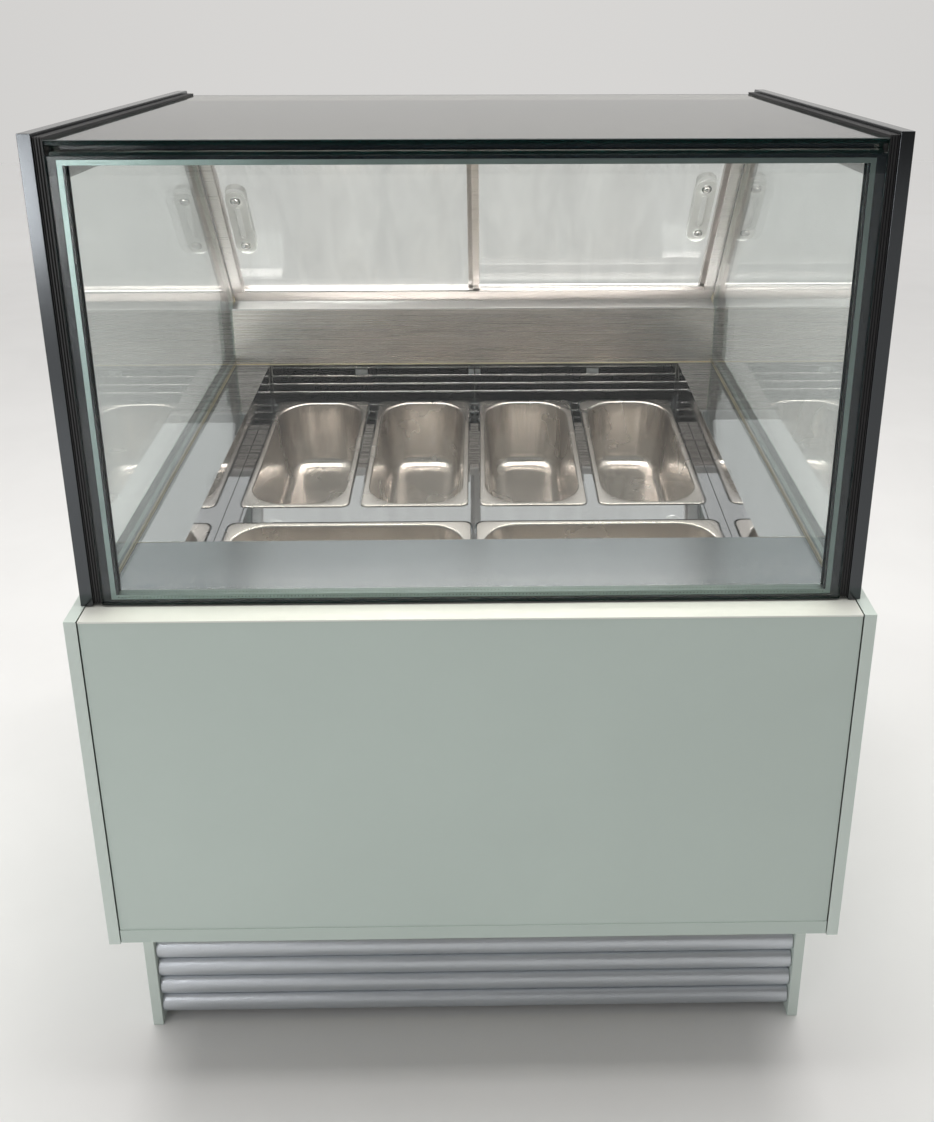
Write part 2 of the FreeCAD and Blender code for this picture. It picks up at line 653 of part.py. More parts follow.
def drain_pipe():
    """Hose tail from the well floor, led back over the tray."""
    drop = tube([(0, 240, 332), (0, 240, 252), (0, 460, 236), (0, 460, 70)], 8, 20)
    bore = tube([(0, 240, 334), (0, 240, 252), (0, 460, 236), (0, 460, 60)], 6.2, 20)
    return drop.cut(bore)


# ---- glasshouse ---------------------------------------------------------------------
def end_frame():
    """Right-hand glasshouse end: post, top rail, inclined rear stile and bottom rail."""
    gap = 0.3
    stile = 95.5
    outer = [
        (GLASS_Y, panel_top(GLASS_Y) + gap), (GLASS_Y, HEIGHT), (ROOF_END, HEIGHT),
        (door_line(REAR_TOP) + stile, REAR_TOP + gap), (REAR_STEP_Y - gap, REAR_TOP + gap),
        (REAR_STEP_Y - gap, panel_top(REAR_STEP_Y) + gap),
    ]
    rail_z = HEIGHT - RAIL_DROP
    opening = [
        (GLASS_Y + POST_DEPTH, panel_top(GLASS_Y + POST_DEPTH) + 13),
        (GLASS_Y + POST_DEPTH, rail_z), (door_line(rail_z), rail_z),
        (door_line(REAR_TOP + 13), REAR_TOP + 13), (REAR_STEP_Y - 16, REAR_TOP + 13),
        (REAR_STEP_Y - 16, panel_top(REAR_STEP_Y - 16) + 13),
    ]
    ring = prism_x(outer, FRAME_X - FRAME_T, FRAME_X)
    return ring.cut(prism_x(opening, FRAME_X - FRAME_T - 1, FRAME_X + 1))


def frame_gasket():
    """Ribbed black gasket between an end frame and the front and roof glass."""
    x0, x1 = FRONT_GLASS_X + 0.3, FRAME_X - FRAME_T
    y0 = GLASS_Y + 2
    post = box(x0, x1, y0, GLASS_Y + 20, panel_top(GLASS_Y) + 3, HEIGHT - 4)
    rail = box(x0, x1, y0, ROOF_END - 2, ROOF_TOP - ROOF_PANE, HEIGHT - 4)
    grooves = []
    for k in range(3):
        x = x0 + 1.8 + k * 3.0
        grooves.append(box(x, x + 1.2, y0 - 1, y0 + 1.5, 0, HEIGHT))
        grooves.append(box(x, x + 1.2, 0, ROOF_END, HEIGHT - 5.5, HEIGHT))
    return cut(post.fuse(rail), grooves)


def side_glass():
    """Two panes of the right-hand side unit."""
    y0 = GLASS_Y + FRONT_IGU + 0.4
    top = ROOF_TOP - ROOF_PANE - 0.3
    outline = [
        (y0, deck_top(y0) + 0.3), (y0, top), (door_line(top), top),
        (door_line(REAR_TOP + 12), REAR_TOP + 12),
        (door_line(REAR_TOP + 12), deck_top(door_line(REAR_TOP + 12)) + 0.3),
    ]
    inner = prism_x(outline, SIDE_GLASS_X, SIDE_GLASS_X + PANE)
    x1 = SIDE_GLASS_X + IGU
    return [inner, prism_x(outline, x1 - PANE, x1)]


def ring_prism(outline, width_in, x0, x1):
    """A bar frame that follows an outline of (y, z) points, width_in inwards."""
    wire = Part.makePolygon([V(x0, y, z) for y, z in outline + [outline[0]]])
    inner = wire.makeOffset2D(-width_in, 2)
    if Part.Face(inner).Area > Part.Face(wire).Area:
        inner = wire.makeOffset2D(width_in, 2)
    face = Part.Face(wire).cut(Part.Face(inner))
    return face.extrude(V(x1 - x0, 0, 0))


def side_spacer():
    y0 = GLASS_Y + FRONT_IGU + 6
    top = ROOF_TOP - ROOF_PANE - 6
    foot = door_line(REAR_TOP + 12) - 6
    outline = [
        (y0, deck_top(y0) + 6), (y0, top), (door_line(top) - 6, top), (foot, REAR_TOP + 12),
        (foot, deck_top(foot) + 6),
    ]
    x0 = SIDE_GLASS_X + PANE
    return ring_prism(outline, SPACER_W, x0 + 0.05, x0 + IGU - 2 * PANE - 0.05)


def front_glass():
    """Outer and inner panes of the upright front unit."""
    z0 = panel_top(GLASS_Y) + 1.5
    outer = box(-FRONT_GLASS_X, FRONT_GLASS_X, GLASS_Y, GLASS_Y + PANE, z0, ROOF_TOP)
    y1 = GLASS_Y + FRONT_IGU
    inner = box(-FRONT_GLASS_X + 4, FRONT_GLASS_X - 4, y1 - PANE, y1, deck_top(y1) - 8,
                ROOF_LOWER - 1)
    return [outer, inner]


def front_spacer():
    y0, y1 = GLASS_Y + PANE + 0.05, GLASS_Y + FRONT_IGU - PANE - 0.05
    x1 = FRONT_GLASS_X - 11
    z0, z1 = deck_top(GLASS_Y) - 2, ROOF_LOWER - 4
    outer = box(-x1, x1, y0, y1, z0, z1)
    return outer.cut(box(-x1 + SPACER_W, x1 - SPACER_W, y0 - 1, y1 + 1, z0 + SPACER_W,
                         z1 - SPACER_W))


def roof_glass():
    """Upper pane over the whole roof and the lower pane of the unit ahead of the doors."""
    upper = box(-FRONT_GLASS_X, FRONT_GLASS_X, GLASS_Y + PANE + 0.3, ROOF_END,
                ROOF_TOP - ROOF_PANE, ROOF_TOP)
    end = door_line(ROOF_LOWER) - 8
    lower = box(-SIDE_GLASS_X + 0.4, SIDE_GLASS_X - 0.4, GLASS_Y + PANE + 0.5, end, ROOF_LOWER,
                ROOF_LOWER + PANE)
    return [upper, lower]


def roof_spacer():
    x1, y0, y1 = SIDE_GLASS_X - 8, GLASS_Y + PANE + 10, door_line(ROOF_LOWER) - 18
    z0, z1 = ROOF_LOWER + PANE + 0.05, ROOF_TOP - ROOF_PANE - 0.05
    outer = box(-x1, x1, y0, y1, z0, z1)
    return outer.cut(box(-x1 + SPACER_W, x1 - SPACER_W, y0 + SPACER_W, y1 - SPACER_W, 0, HEIGHT))


# ---- inclined sliding doors ---------------------------------------------------------
FIN_NS = ((2.0, 5.0), (24.5, 29.5), (49.0, 52.0))


def fins(x, low_z, high_z):
    """Guide fins that stand along the door slope, trimmed level at both ends."""
    slabs = [lay_on_door(box(-x, x, n0, n1, -60, 560)) for n0, n1 in FIN_NS]
    level = box(-x, x, 0, DEPTH, low_z, high_z)
    return [slab.common(level) for slab in slabs]


def sill_track():
    wide = SIDE_GLASS_X - 0.4
    base = [
        (BACK_WALL_Y, REAR_TOP - 1.2), (BACK_WALL_Y, REAR_TOP + 2), (796, REAR_TOP + 8),
        (812, REAR_TOP + 13), (884, REAR_TOP + 13), (884, REAR_TOP - 1.2),
    ]
    return fuse([prism_x(base, -wide, wide)] + fins(wide, REAR_TOP + 6, 934))


def head_track():
    wide = SIDE_GLASS_X - 0.4
    top = ROOF_TOP - ROOF_PANE - 0.3
    cap = [(door_line(1278) - 6, 1278), (door_line(1278) - 6, top), (ROOF_END - 6, top),
           (ROOF_END - 6, 1278)]
    return fuse([prism_x(cap, -wide, wide)] + fins(wide, 1250, 1279))


def jamb():
    """Right-hand upright of the door opening: a side web with two guide fins."""
    x1 = SIDE_GLASS_X - 0.4
    web = box(x1 - 3.5, x1, 2, 52, -60, 560)
    lip = box(x1 - 18, x1, 2, 5, -60, 560)
    rear = box(x1 - 10, x1, 49, 52, -60, 560)
    whole = lay_on_door(fuse([web, lip, rear]))
    return whole.common(box(0, HALF, 0, DEPTH, 934.3, 1249.7))


def door_frame(x0, x1, n, u):
    outer = box(x0, x1, n, n + DOOR_T, u, u + DOOR_LENGTH)
    opening = box(x0 + DOOR_STILE, x1 - DOOR_STILE, n - 1, n + DOOR_T + 1, u + DOOR_STILE,
                  u + DOOR_LENGTH - DOOR_STILE)
    groove = box(x0 + DOOR_STILE - 6, x1 - DOOR_STILE + 6, n + 4, n + 8, u + DOOR_STILE - 6,
                 u + DOOR_LENGTH - DOOR_STILE + 6)
    return lay_on_door(outer.cut(opening).cut(groove))


def door_pane(x0, x1, n, u):
    inset = DOOR_STILE - 5.7
    pane = box(x0 + inset, x1 - inset, n + 4.05, n + 7.95, u + inset, u + DOOR_LENGTH - inset)
    return pane


def door_handle(x, n):
    """Low pull outside, slotted plate inside, and two screws closed by dome nuts."""
    pull = rounded_plate(x, HANDLE_U, 34, 150, 16, n + 8.0, n + 20.0 - 0.5)
    scoop = rounded_plate(x, HANDLE_U, 20, 76, 9, n + 10.0, n + 22.0)
    plate = rounded_plate(x, HANDLE_U, 34, 138, 16.5, n + 2.2, n + 4.0)
    slot = rounded_plate(x, HANDLE_U, 9, 70, 4.4, n, n + 5)
    pieces = [pull.cut(scoop), plate.cut(slot)]
    for side in (-1, 1):
        u = HANDLE_U + side * HANDLE_SPAN / 2
        shank = rod(x, n - 0.5, u, 2.5, 12, (0, 1, 0))
        washer = rod(x, n + 0.7, u, 8.5, 1.5, (0, 1, 0))
        dome = Part.makeSphere(6.2, V(x, n + 1.2, u)).common(
            box(x - 9, x + 9, n - 5, n + 1.2, u - 9, u + 9))
        pieces += [shank, washer, dome]
    return lay_on_door(fuse(pieces))


def rounded_plate(x, u, size_x, size_u, radius, n0, n1):
    """Block with round corners in the door's face, from n0 to n1 through it."""
    block = rounded_block(0, 0, size_x, size_u, radius, 0, n1 - n0)
    block.rotate(V(0, 0, 0), V(1, 0, 0), -90)
    block.translate(V(x, n0, u))
    return block


def drilled_pane(pane, x, n):
    holes = [rod(x, n, HANDLE_U + side * HANDLE_SPAN / 2, 2.5, 14, (0, 1, 0)) for side in (-1, 1)]
    return lay_on_door(cut(pane, holes))


def lamp():
    """Slim lamp bar under the door head, with its lens underneath."""
    y1 = door_line(1270) - 1
    body = box(-400, 400, y1 - 16, y1 - 1, 1266, 1276.2)
    return body


# ---- rear controls ------------------------------------------------------------------
BUTTON_XS = (-262.0, -238.0, -214.0)
ROCKER_XS = (-392.0, -364.0)
BEZEL_Y = 894.0
ROCKER_Y = 886.0
ROCKER_TILT = 7.0


def control_bezel():
    """Moulded panel for the thermostat, its keys and two rocker switches."""
    x0, x1 = CONTROL_X - CONTROL_W / 2, CONTROL_X + CONTROL_W / 2
    z0, z1 = CONTROL_Z - CONTROL_H / 2, CONTROL_Z + CONTROL_H / 2
    face = box(x0, x1, REAR_PANEL_Y + SHEET, BEZEL_Y, z0, z1)
    tub = box(x0 + 8, x1 - 8, REAR_PANEL_Y - 34, REAR_PANEL_Y + SHEET, z0 + 8, z1 - 8)
    hollow = box(x0 + 10, x1 - 10, REAR_PANEL_Y - 32, BEZEL_Y - 2.5, z0 + 10, z1 - 10)
    cuts = [hollow]
    for x in BUTTON_XS:
        cuts.append(rod(x, 880, CONTROL_Z - 14, 7.4, 20, (0, 1, 0)))
    for x in ROCKER_XS:
        cuts.append(box(x - 9.4, x + 9.4, 880, 900, CONTROL_Z - 14.4, CONTROL_Z + 14.4))
    cuts.append(box(-264, -212, 891, 900, CONTROL_Z + 1, CONTROL_Z + 23))
    return cut(face.fuse(tub), cuts)


def thermostat_display():
    return box(-263.9, -212.1, 891.1, BEZEL_Y - 0.4, CONTROL_Z + 1.1, CONTROL_Z + 22.9)


def key(x):
    """Round push key on a stem that slides into the bezel."""
    cap = rod(x, 889.2, CONTROL_Z - 14, 7.0, 7.0, (0, 1, 0))
    flange = rod(x, 889.2, CONTROL_Z - 14, 8.6, 2.0, (0, 1, 0))
    return fuse([cap, flange])


def rocker(x):
    """Switch rocker with a dished face, turning on a cross axis behind the bezel."""
    profile = [(884, -10), (884, 10), (891, 12.6), (897.5, 13), (894.5, 0), (897.5, -13),
               (891, -12.6)]
    body = prism_x([(y, CONTROL_Z + z) for y, z in profile], x - 9, x + 9)
    body.rotate(V(x, ROCKER_Y, CONTROL_Z), V(1, 0, 0), -ROCKER_TILT)
    return body


def power_inlet():
    """Mains inlet socket set in the rear panel, made in plain pieces around its recess."""
    face, floor = REAR_PANEL_Y + SHEET, REAR_PANEL_Y - 18
    recess = (INLET_X - 12, INLET_X + 12, INLET_Z - 8.5, INLET_Z + 8.5)
    flange = box(INLET_X - 24, INLET_X + 24, face, face + 3, INLET_Z - 15, INLET_Z + 15)
    body = box(INLET_X - 13.5, INLET_X + 13.5, floor, face, INLET_Z - 10.5, INLET_Z + 10.5)
    back = box(INLET_X - 13.5, INLET_X + 13.5, floor - 10, floor, INLET_Z - 10.5, INLET_Z + 10.5)
    hollow = box(*recess[:2], floor - 1, face + 4, *recess[2:])
    walls = sawn_round([flange.cut(hollow), body.cut(hollow)], [recess])
    blades = [box(INLET_X + dx - 1, INLET_X + dx + 1, floor, floor + 15, INLET_Z + dz - 2,
                  INLET_Z + dz + 2) for dx, dz in ((-7, 0), (7, 0), (0, 3))]
    return [back] + walls + blades


def cabinet_screws():
    """Pan-head screws of the rear panel."""
    screws = []
    for x in (-REAR_X + 14, -150.0, 150.0, REAR_X - 14):
        for z in (30.0, 245.0, 560.0, 885.0):
            y = REAR_PANEL_Y + SHEET
            head = Part.makeSphere(6.4, V(x, y - 3.4, z)).common(
                box(x - 7, x + 7, y, y + 4, z - 7, z + 7))
            slots = [box(x - 3, x + 3, y + 1.9, y + 4, z - 0.6, z + 0.6),
                     box(x - 0.6, x + 0.6, y + 1.9, y + 4, z - 3, z + 3)]
            screws.append(cut(head, slots))
    return screws


# ---- write every sub-part -----------------------------------------------------------
save_pair("side_panel", side_panel())
save("front_panel", front_panel())
save("front_ledge", front_ledge())
save("rear_panel", rear_panel())
save_pair("plinth", plinth())
save("plinth_louvres", louvres() + louvre_brackets())
save("base_tray", base_tray())
save("levelling_feet", levelling_feet())

save("foam_tub", foam_tub())
save("well_liner", well_liner() + support_rails())
save_pair("deck_strip", deck_strip())
save("front_apron", front_apron())
save("back_wall", back_wall())
save("vent_grille", vent_grille())
save("pan_support", pan_support())
PAN_NAMES = ["back_pan_a", "back_pan_b", "back_pan_c", "back_pan_d", "front_pan_a", "front_pan_b"]
for pan_name, place in zip(PAN_NAMES, pan_places()):
    save(pan_name, pan(*place))

save("evaporator_coil", finned_coil(-COIL_X, COIL_X, COIL_Y0, COIL_Y1, COIL_Z0, COIL_Z1, 4, 3))
save("evaporator_fan_housing", [evaporator_fan_plate()] + evaporator_fan_motors())
save_pair("evaporator_fan", fan_rotor(EVAP_FAN_X, EVAP_FAN_Y, EVAP_FAN_Z, EVAP_BLADE_R, 5, 20))
save("compressor", compressor())
save("condenser_coil", finned_coil(-180, 180, 140, 195, 40, 236, 2, 8))
save("condenser_fan", fan_rotor(0, COND_FAN_Y, COND_FAN_Z, COND_BLADE_R, 5, 26))
save("condenser_fan_housing", [condenser_shroud(), motor_stand(),
                               fan_motor(0, COND_FAN_Y + 2, COND_FAN_Z, 34, 44, 40)])
save("refrigerant_pipes", refrigerant_pipes() + [filter_drier()])
save("drain_tray_and_pipe", [drain_tray(), drain_pipe()])

save_pair("end_frame", end_frame())
save("frame_gaskets", [frame_gasket(), mirror_x(frame_gasket())])
save_pair("side_glass", side_glass()[0].fuse(side_glass()[1]))
save("front_glass", front_glass())
save("roof_glass", roof_glass())
save("glass_spacers", [side_spacer(), mirror_x(side_spacer()), front_spacer(), roof_spacer()])
save("sill_track", sill_track())
save("head_track", head_track())
save("door_jambs", [jamb(), mirror_x(jamb())])
save("lamp_bar", lamp())

for door_name, x0, x1, n, u, hx in (
        ("left_door", -DOOR_OUT_X, DOOR_OVERLAP, INNER_DOOR_N, INNER_DOOR_U, -HANDLE_X),
        ("right_door", -DOOR_OVERLAP, DOOR_OUT_X, OUTER_DOOR_N, OUTER_DOOR_U, HANDLE_X)):
    save(door_name + "_frame", door_frame(x0, x1, n, u))
    save(door_name + "_pane", drilled_pane(door_pane(x0, x1, n, u), hx, n))
    save(door_name + "_handle", door_handle(hx, n))

save("control_panel", [control_bezel(), thermostat_display()])
for key_name, key_x in zip(("key_set", "key_up", "key_down"), BUTTON_XS):
    save(key_name, key(key_x))
for rocker_name, rocker_x in zip(("power_rocker", "lamp_rocker"), ROCKER_XS):
    save(rocker_name, rocker(rocker_x))
save("power_inlet", power_inlet())
save("cabinet_screws", cabinet_screws())
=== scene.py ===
import bpy, bmesh, math
from mathutils import Matrix, Vector


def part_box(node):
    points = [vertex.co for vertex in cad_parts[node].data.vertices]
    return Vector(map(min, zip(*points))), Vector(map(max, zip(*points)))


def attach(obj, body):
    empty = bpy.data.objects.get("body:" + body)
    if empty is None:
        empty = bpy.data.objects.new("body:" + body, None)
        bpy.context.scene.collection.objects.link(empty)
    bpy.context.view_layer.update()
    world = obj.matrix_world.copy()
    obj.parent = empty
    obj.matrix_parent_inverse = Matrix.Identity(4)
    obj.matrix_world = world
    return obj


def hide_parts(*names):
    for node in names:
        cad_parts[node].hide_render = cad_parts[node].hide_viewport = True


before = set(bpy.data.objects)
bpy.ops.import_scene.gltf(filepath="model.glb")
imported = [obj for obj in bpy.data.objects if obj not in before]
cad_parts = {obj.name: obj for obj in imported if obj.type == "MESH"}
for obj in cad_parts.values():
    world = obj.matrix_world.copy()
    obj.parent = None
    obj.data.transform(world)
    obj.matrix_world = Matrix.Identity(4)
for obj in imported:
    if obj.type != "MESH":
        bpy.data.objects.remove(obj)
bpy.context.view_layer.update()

scene = bpy.context.scene
MM = 0.001

# ---- the maker's own sizes, repeated from the part ------------------------------------
FRONT = -0.450                    # front face of the cabinet
DOOR_LEAN = math.atan(0.6275)     # the rear doors' slope, from vertical
PAN_LEAN = math.atan(0.104)       # the pans' slope
PAN_ROW_Y = FRONT + 0.3875        # front edge of the back row's rims
PAN_ROW_Z = 0.700
PAN_LONG, PAN_WIDE, PAN_DEEP = 0.360, 0.165, 0.120
NARROW_PITCH, WIDE_X, FRONT_ROW_S = 0.1833, 0.184, -0.2091
SLAT_COUNT, SLAT_PITCH, SLAT_HEIGHT, SLAT_BULGE = 7, 0.0335, 0.031, 0.010


# ---- shader tools ---------------------------------------------------------------------
def put(tree, kind, settings=None, **inputs):
    """Add a node; a socket name takes a number or another node's output."""
    node = tree.nodes.new(kind)
    for key, value in (settings or {}).items():
        setattr(node, key, value)
    for key, value in inputs.items():
        socket = node.inputs[key.replace("_", " ")]
        if isinstance(value, bpy.types.NodeSocket):
            tree.links.new(value, socket)
        else:
            socket.default_value = value
    return node


def value_group(name, inputs, outputs):
    """A shared shader group with named float inputs; returns tree, its inputs and its end."""
    tree = bpy.data.node_groups.new(name, "ShaderNodeTree")
    for label, kind, value in inputs:
        socket = tree.interface.new_socket(label, in_out="INPUT", socket_type="NodeSocket" + kind)
        socket.default_value = value
    for label, kind in outputs:
        tree.interface.new_socket(label, in_out="OUTPUT", socket_type="NodeSocket" + kind)
    given = tree.nodes.new("NodeGroupInput").outputs
    return tree, given, tree.nodes.new("NodeGroupOutput").inputs


def stretched_noise(tree, stretch, detail=3.0):
    place = put(tree, "ShaderNodeTexCoord").outputs["Object"]
    turned = put(tree, "ShaderNodeVectorMath", {"operation": "MULTIPLY"})
    tree.links.new(place, turned.inputs[0])
    tree.links.new(stretch, turned.inputs[1])
    noise = put(tree, "ShaderNodeTexNoise", Vector=turned.outputs[0], Scale=1.0, Detail=detail,
                Roughness=0.6)
    return noise.outputs["Fac"]


def spread(tree, value, low, high):
    """Map the middle of a noise's range onto low to high."""
    band = put(tree, "ShaderNodeMapRange", Value=value)
    band.inputs["From Min"].default_value = 0.3
    band.inputs["From Max"].default_value = 0.7
    for socket, end in (("To Min", low), ("To Max", high)):
        if isinstance(end, bpy.types.NodeSocket):
            tree.links.new(end, band.inputs[socket])
        else:
            band.inputs[socket].default_value = end
    return band.outputs["Result"]


def grain_group():
    """Drawn-out scratches of a brushed or rolled surface."""
    tree, given, result = value_group(
        "brushed grain",
        [("Stretch", "Vector", (4.0, 900.0, 900.0)), ("Smooth", "Float", 0.2),
         ("Rough", "Float", 0.4), ("Depth", "Float", 0.1)],
        [("Roughness", "Float"), ("Shade", "Float"), ("Normal", "Vector")])
    lines = stretched_noise(tree, given["Stretch"])
    tree.links.new(spread(tree, lines, given["Smooth"], given["Rough"]), result["Roughness"])
    tree.links.new(spread(tree, lines, 0.985, 1.0), result["Shade"])
    bump = put(tree, "ShaderNodeBump", Height=lines, Distance=0.0002, Strength=given["Depth"])
    tree.links.new(bump.outputs["Normal"], result["Normal"])
    return tree


def peel_group():
    """Fine ripple of a sprayed or moulded surface."""
    tree, given, result = value_group(
        "orange peel", [("Scale", "Float", 400.0), ("Depth", "Float", 0.1)],
        [("Normal", "Vector")])
    place = put(tree, "ShaderNodeTexCoord").outputs["Object"]
    noise = put(tree, "ShaderNodeTexNoise", Vector=place, Scale=given["Scale"], Detail=2.0)
    bump = put(tree, "ShaderNodeBump", Height=noise.outputs["Fac"], Distance=0.0004,
               Strength=given["Depth"])
    tree.links.new(bump.outputs["Normal"], result["Normal"])
    return tree


def wiping_group():
    """Broad patches left by wiping down."""
    tree, given, result = value_group(
        "wiping marks",
        [("Scale", "Float", 6.0), ("Low", "Float", 0.3), ("High", "Float", 0.4)],
        [("Value", "Float")])
    place = put(tree, "ShaderNodeTexCoord").outputs["Object"]
    noise = put(tree, "ShaderNodeTexNoise", Vector=place, Scale=given["Scale"], Detail=4.0,
                Distortion=0.6)
    tree.links.new(spread(tree, noise.outputs["Fac"], given["Low"], given["High"]),
                   result["Value"])
    return tree


BRUSHED, PEEL, WIPED = grain_group(), peel_group(), wiping_group()


def grouped(tree, group, **inputs):
    return put(tree, "ShaderNodeGroup", {"node_tree": group}, **inputs).outputs


def blank(name):
    material = bpy.data.materials.new(name)
    material.use_nodes = True
    return material, material.node_tree, material.node_tree.nodes["Principled BSDF"]


def tinted(tree, shade, colour):
    """The colour, darkened and lightened a little by a shade value."""
    mix = put(tree, "ShaderNodeMix", {"data_type": "RGBA", "blend_type": "MULTIPLY"})
    mix.inputs["Factor"].default_value = 1.0
    mix.inputs[6].default_value = (*colour, 1.0)
    tree.links.new(shade, mix.inputs[7])
    return mix.outputs[2]


def brushed_metal(name, colour, along="X", smooth=0.2, rough=0.4, depth=0.1, fine=900.0):
    """Bare metal with grain drawn along one axis."""
    material, tree, shader = blank(name)
    stretch = [fine] * 3
    stretch["XYZ".index(along)] = 4.0
    grain = grouped(tree, BRUSHED, Stretch=stretch, Smooth=smooth, Rough=rough, Depth=depth)
    tree.links.new(grain["Roughness"], shader.inputs["Roughness"])
    tree.links.new(grain["Normal"], shader.inputs["Normal"])
    tree.links.new(tinted(tree, grain["Shade"], colour), shader.inputs["Base Color"])
    shader.inputs["Metallic"].default_value = 1.0
    return material


def smooth_metal(name, colour, low, high, ripple=0.0, scale=60.0):
    """Bright metal with wiping marks and, if any, a slight ripple."""
    material, tree, shader = blank(name)
    marks = grouped(tree, WIPED, Scale=9.0, Low=low, High=high)
    tree.links.new(marks["Value"], shader.inputs["Roughness"])
    shader.inputs["Base Color"].default_value = (*colour, 1.0)
    shader.inputs["Metallic"].default_value = 1.0
    if ripple:
        skin = grouped(tree, PEEL, Scale=scale, Depth=ripple)
        tree.links.new(skin["Normal"], shader.inputs["Normal"])
    return material


def painted(name, colour, low, high, peel, scale, metallic=0.0):
    """Paint, rubber or plastic with a fine skin texture."""
    material, tree, shader = blank(name)
    marks = grouped(tree, WIPED, Scale=5.0, Low=low, High=high)
    tree.links.new(marks["Value"], shader.inputs["Roughness"])
    shade = grouped(tree, WIPED, Scale=3.0, Low=0.96, High=1.0)
    tree.links.new(tinted(tree, shade["Value"], colour), shader.inputs["Base Color"])
    skin = grouped(tree, PEEL, Scale=scale, Depth=peel)
    tree.links.new(skin["Normal"], shader.inputs["Normal"])
    shader.inputs["Metallic"].default_value = metallic
    return material


def glazing(name, tint, roughness=0.0, wrinkles=0.0, stretch=(10.0, 10.0, 10.0), bend=1.5,
            shade=None):
    """Clear sheet that lets lamps through; wrinkles bend and streak what is seen in it."""
    material, tree, shader = blank(name)
    shader.inputs["Base Color"].default_value = (*tint, 1.0)
    shader.inputs["Roughness"].default_value = roughness
    shader.inputs["Transmission Weight"].default_value = 1.0
    shader.inputs["IOR"].default_value = bend
    if wrinkles:
        folds = put(tree, "ShaderNodeValToRGB").outputs[0]
        ramp = folds.node
        ramp.color_ramp.elements[0].position = 0.45
        ramp.color_ramp.elements[1].position = 0.62
        place = put(tree, "ShaderNodeTexCoord").outputs["Object"]
        drawn = put(tree, "ShaderNodeVectorMath", {"operation": "MULTIPLY"})
        tree.links.new(place, drawn.inputs[0])
        drawn.inputs[1].default_value = stretch
        noise = put(tree, "ShaderNodeTexNoise", Vector=drawn.outputs[0], Scale=1.0, Detail=3.0,
                    Distortion=0.8)
        tree.links.new(noise.outputs["Fac"], ramp.inputs["Fac"])
        bump = put(tree, "ShaderNodeBump", Height=folds, Distance=0.0004, Strength=wrinkles)
        tree.links.new(bump.outputs["Normal"], shader.inputs["Normal"])
        streaks = spread(tree, noise.outputs["Fac"], 0.80, 1.0)
        tree.links.new(tinted(tree, streaks, tint), shader.inputs["Base Color"])
    through = put(tree, "ShaderNodeBsdfTransparent", Color=(*(shade or tint), 1.0))
    lamp_ray = put(tree, "ShaderNodeLightPath").outputs["Is Shadow Ray"]
    blend = put(tree, "ShaderNodeMixShader", Fac=lamp_ray)
    tree.links.new(shader.outputs[0], blend.inputs[1])
    tree.links.new(through.outputs[0], blend.inputs[2])
    tree.links.new(blend.outputs[0], tree.nodes["Material Output"].inputs["Surface"])
    return material


# ---- finishes -------------------------------------------------------------------------
WHITE_PAINT = painted("white powder coat", (0.60, 0.675, 0.635), 0.34, 0.44, 0.12, 700.0)
# The front panel's darker copy of the white paint is painted shade.
SHADED_FRONT_PAINT = painted("white powder coat, painted shade", (0.50, 0.58, 0.54), 0.30, 0.40, 0.12, 700.0)
# The ledge's lighter copy of the white paint is painted light from overhead.
LIT_LEDGE_PAINT = painted("white powder coat, painted light", (0.74, 0.75, 0.705), 0.30, 0.40, 0.12, 700.0)
HAMMERED = painted("hammered silver", (0.60, 0.63, 0.67), 0.30, 0.42, 1.0, 620.0, 0.85)
BLACK_PAINT = painted("black enamel", (0.018, 0.018, 0.02), 0.25, 0.4, 0.15, 500.0)
RUBBER = painted("black rubber", (0.008, 0.008, 0.009), 0.45, 0.6, 0.05, 900.0)
PLASTIC = painted("black plastic", (0.028, 0.028, 0.03), 0.4, 0.5, 0.35, 1500.0)
FOAM = painted("rigid foam", (0.80, 0.70, 0.46), 0.8, 0.95, 0.8, 300.0)
SEALANT = painted("blue-black sealant", (0.004, 0.009, 0.013), 0.12, 0.25, 0.03, 300.0)

WALL_STEEL = brushed_metal("brushed steel across", (0.80, 0.73, 0.69), "X", 0.22, 0.32, 0.015,
                           1600.0)
# The apron steel's dark, bluish grey base colour is painted shade.
SHADED_APRON_STEEL = brushed_metal("fine brushed steel, painted shade", (0.36, 0.39, 0.415), "X", 0.18, 0.26, 0.01,
                            1800.0)
PAN_STEEL = smooth_metal("satin pan steel", (0.76, 0.72, 0.69), 0.22, 0.29)
MIRROR_STEEL = smooth_metal("mirror steel", (0.70, 0.71, 0.73), 0.02, 0.05)
WELL_STEEL = smooth_metal("polished liner steel", (0.62, 0.62, 0.64), 0.04, 0.10)
SHADED_STEEL = smooth_metal("shaded duct steel", (0.012, 0.014, 0.02), 0.2, 0.3)
CHROME = smooth_metal("bright nut steel", (0.70, 0.70, 0.70), 0.06, 0.12)
ZINC = smooth_metal("galvanised sheet", (0.52, 0.54, 0.55), 0.35, 0.55, 0.1, 90.0)
COPPER = smooth_metal("copper tube", (0.70, 0.38, 0.24), 0.25, 0.42, 0.05, 200.0)
FINS = brushed_metal("finned aluminium", (0.60, 0.62, 0.64), "Z", 0.35, 0.5, 0.4, 500.0)
DARK_ANODISED = brushed_metal("dark anodised", (0.075, 0.08, 0.085), "Y", 0.14, 0.22, 0.02,
                              1800.0)
PALE_ALUMINIUM = brushed_metal("pale anodised", (0.82, 0.79, 0.78), "X", 0.26, 0.34, 0.02,
                               1800.0)
SPACER = brushed_metal("mill spacer bar", (0.20, 0.25, 0.24), "Z", 0.3, 0.42, 0.03, 1800.0)
